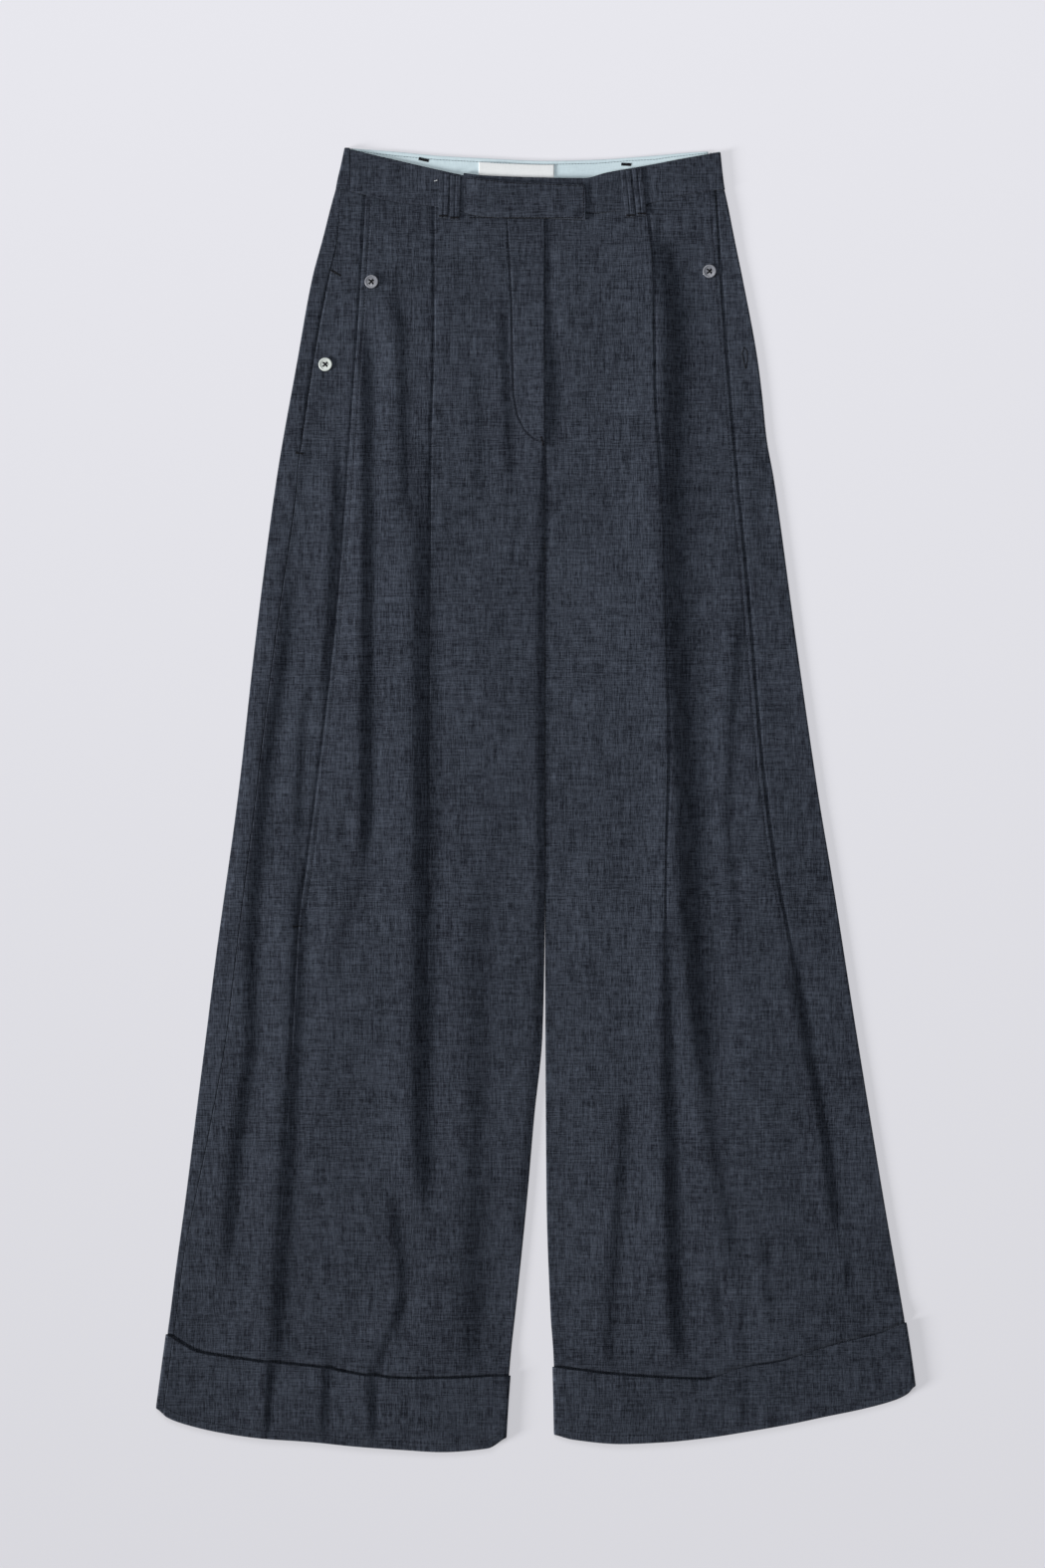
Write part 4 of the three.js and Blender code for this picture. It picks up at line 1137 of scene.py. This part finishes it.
# One mesh of stitches along some paths of points in millimetres.
def sew(name, paths, thread, slot, **sizes):
    size = {**stitchSizes, **sizes}
    points, edges = [], []
    for path in paths:
        edges += [(len(points) + k, len(points) + k + 1) for k in range(len(path) - 1)]
        points += [tuple(v * mm for v in p) for p in path]
    mesh = bpy.data.meshes.new(name + "_path")
    mesh.from_pydata(points, edges, [])
    holder = bpy.data.objects.new(name + "_path", mesh)
    bpy.context.scene.collection.objects.link(holder)
    modifier = holder.modifiers.new("stitches", "NODES")
    modifier.node_group = stitches
    values = {"Pitch": size["pitch"] * mm, "Length": size["length"] * mm, "Radius": size["radius"] * mm,
              "Turn": size["turn"], "Seed": size["seed"], "Thread": thread}
    for socket, value in values.items():
        modifier[stitchInputs[socket]] = value
    bpy.context.view_layer.update()
    piece = evaluatedCopy(holder, name)
    piece.data.shade_smooth()
    return finishPiece(piece, thread)


# Points along a line, laid on the cloth.
def laid(points, over, lift=stitchSizes["lift"], step=2.0):
    points = np.array(points, float)
    lengths = np.concatenate([[0], np.linalg.norm(np.diff(points, axis=0), axis=1).cumsum()])
    where = np.linspace(0, lengths[-1], max(2, int(lengths[-1] / step)))
    xs, ys = np.interp(where, lengths, points[:, 0]), np.interp(where, lengths, points[:, 1])
    return [(x, y, over(x, y) + lift) for x, y in zip(xs, ys)]


overBody = surfaceOf(frontRight, frontLeft, backRight, fly, *loopPieces.values())
overAll = surfaceOf(frontRight, frontLeft, backRight, *cuffPieces.values(), bandRight, bandLeft,
                    facing, label, fly)

pleatSeam = {"inset": 4.2, "top": 515, "rightEnd": -105, "leftEnd": -100}


def pleatStitch(leg, bottom):
    rows, inset = leg["pleats"][0], leg["out"] * pleatSeam["inset"]
    return [(at(rows, y, "x") - inset, y) for y in np.linspace(pleatSeam["top"], bottom, 60)]


def hemStitch(leg, rise):
    edges, outline = leg["edges"], leg["outline"]
    inner, outer = at(outline, edges[0]["hem"], "inner"), at(outline, edges[-1]["hem"], "outer")
    across = np.linspace(0.012, 0.985, 40)
    return [(mix(inner, outer, t), at(edges, t, "hem", "across") + rise) for t in across]


sew("pleat_stitches", [laid(pleatStitch(rightLeg, pleatSeam["rightEnd"]), overFronts),
                       laid(pleatStitch(leftLeg, pleatSeam["leftEnd"]), overFronts)], navyThread, "chambray")
# The fly's topstitching is drawn thicker than thread, so it also paints the shade of the groove along the J
# line.
sew("fly_stitches_and_groove_shade", [laid(flyLine, overAll, 0.05)], navyThread, "chambray", radius=0.36, pitch=2.8)
sew("hem_stitches", [laid(hemStitch(leg, 7.6), overAll) for leg in (rightLeg, leftLeg)], navyThread,
    "chambray", radius=0.26)

waistLine = [(-163, 561.6), (-144, 558.6), (-120, 555.7), (-98, 553.7), (-85, 552.4), (-51, 550.7),
             (-28, 549.2), (9, 548.3), (52, 549.2), (82, 551.6), (103, 552.6), (116, 554.6), (144, 557.7),
             (158, 558.6)]
# The tab's topstitching is black and heavy, so it also paints the shadow line along the tab's edges.
tabLine = [(-58, 535.4), (-20, 531.4), (10, 530.2), (41.2, 528.7), (41.2, 501.8), (0, 502), (-56, 502)]
sew("facing_stitches", [laid(waistLine, overAll)], greyThread, "facing", radius=0.3, pitch=2.6)
sew("tab_stitches_and_shadow", [laid(tabLine, overAll)], blackThread, "chambray", radius=0.34, pitch=2.8)

# Bar tacks: at the pleat's end, both ends of the pocket, the end of the fly and the feet of the loops.
tacks = [[(-209.5, -109), (-201.5, -109)], [(-176.4, 457), (-168.2, 452.2)],
         [(-206.8, 299.6), (-200.8, 298.4)], [(5.2, 313), (6.8, 305.5)]]
tacks += [[(loop["bottomX"] + d, loop["bottomY"] + 1.6) for d in (-3.6, 3.6)] for loop in loops]
facingTackLines = [[(-100.6, 553.4), (-92.4, 551.6)], [(74.3, 548.6), (82.4, 548.2)]]
sew("bar_tacks", [laid(tack, overBody, 0.1, 0.5) for tack in tacks], blackThread, "chambray",
    pitch=0.5, length=2.1, radius=0.24, turn=1.35)
sew("facing_bar_tacks", [laid(tack, overAll, 0.15, 0.5) for tack in facingTackLines], blackThread, "facing",
    pitch=0.42, length=2.9, radius=0.36, turn=1.45)

# A dense loop of black stitches round the left pocket's slit; its darkness also paints the slit's shade.
pocketHole = [(180, 390.4), (178.4, 385), (181.4, 372), (183, 379), (182.6, 387.4), (180, 390.4)]
sew("pocket_hole_stitches_and_shade", [laid(pocketHole, overFronts, 0.1, 0.5)], blackThread, "chambray",
    pitch=0.9, length=1.3, radius=0.42)
sew("thread_end", [laid([(-86.6, 533.8), (-85.2, 534.2)], overAll, 0.3)], paleThread, "chambray",
    pitch=1.2, length=1.5, radius=0.4)
print("stitches made")
stageLook = {
    "floor": (0.285, 0.285, 0.305),
    "floorGlow": (0.47, 0.468, 0.492),  # painted light: the pale table glows though no lamp is under it, so its shadows are faint
    "glowSlope": 0.075,    # a metre, lighter towards the waist
    "keyHeight": 18,       # degrees above the floor
    "keyTurn": 198,        # degrees round from +x
    "keySoftness": 16,     # degrees across
    "key": 5.1,
    "keyColor": (1, 0.99, 0.98),
    "fillPlace": (-0.3, 1.5, 2.6),      # it makes the floor a little lighter at the top of the picture
    "fillSize": 1.4,
    "fill": 43,            # watts
    "fillColor": (0.97, 0.98, 1),
    "sky": 0.10,
    "skyColor": (0.93, 0.94, 1, 1),
}
cameraLook = {"place": (-0.0112, 0.0136, 3.198), "lens": 85}


def floorPlane():
    size, depth = 4, -0.0004
    mesh = bpy.data.meshes.new("floor")
    corners = [(-size, -size, depth), (size, -size, depth), (size, size, depth), (-size, size, depth)]
    mesh.from_pydata(corners, [], [(0, 1, 2, 3)])
    floor = bpy.data.objects.new("floor", mesh)
    bpy.context.scene.collection.objects.link(floor)
    material, tree, principled = newMaterial("paleTable", 0.95, Specular_IOR_Level=0.1)
    principled.inputs["Base Color"].default_value = (*stageLook["floor"], 1)
    # Painted light: the floor glows, a little more towards the waist, and this keeps its shadows faint.
    principled.inputs["Emission Color"].default_value = (*stageLook["floorGlow"], 1)
    place = addNode(tree, "ShaderNodeTexCoord").outputs["Object"]
    along = addNode(tree, "ShaderNodeSeparateXYZ", {0: place}).outputs["Y"]
    glow = addNode(tree, "ShaderNodeMath", {0: along, 1: stageLook["glowSlope"], 2: 1.0},
                   operation="MULTIPLY_ADD")
    tree.links.new(glow.outputs[0], principled.inputs["Emission Strength"])
    mesh.materials.append(material)


# A light at a place, aimed at the origin.
def aimed(data, place):
    light = bpy.data.objects.new(data.name, data)
    light.location = place
    light.rotation_euler = Vector(place).to_track_quat("Z", "Y").to_euler()
    bpy.context.scene.collection.objects.link(light)


floorPlane()
keyData = bpy.data.lights.new("keyLight", "SUN")
keyData.energy, keyData.color = stageLook["key"], stageLook["keyColor"]
keyData.angle = math.radians(stageLook["keySoftness"])
height, turn = math.radians(stageLook["keyHeight"]), math.radians(stageLook["keyTurn"])
across = 3 * math.cos(height)
aimed(keyData, (across * math.cos(turn), across * math.sin(turn), 3 * math.sin(height)))
fillData = bpy.data.lights.new("fillLight", "AREA")
fillData.energy, fillData.color = stageLook["fill"], stageLook["fillColor"]
fillData.size = stageLook["fillSize"]
aimed(fillData, stageLook["fillPlace"])
world = bpy.data.worlds.new("studio")
world.use_nodes = True
world.node_tree.nodes["Background"].inputs["Color"].default_value = stageLook["skyColor"]
world.node_tree.nodes["Background"].inputs["Strength"].default_value = stageLook["sky"]
bpy.context.scene.world = world
bpy.context.scene.view_settings.view_transform = "Standard"

cameraData = bpy.data.cameras.new("camera")
cameraData.lens = cameraLook["lens"]
cameraData.sensor_fit = "AUTO"
cameraData.clip_end = 20
camera = bpy.data.objects.new("camera", cameraData)
camera.location = cameraLook["place"]
bpy.context.scene.collection.objects.link(camera)
bpy.context.scene.camera = camera
print("stage set")
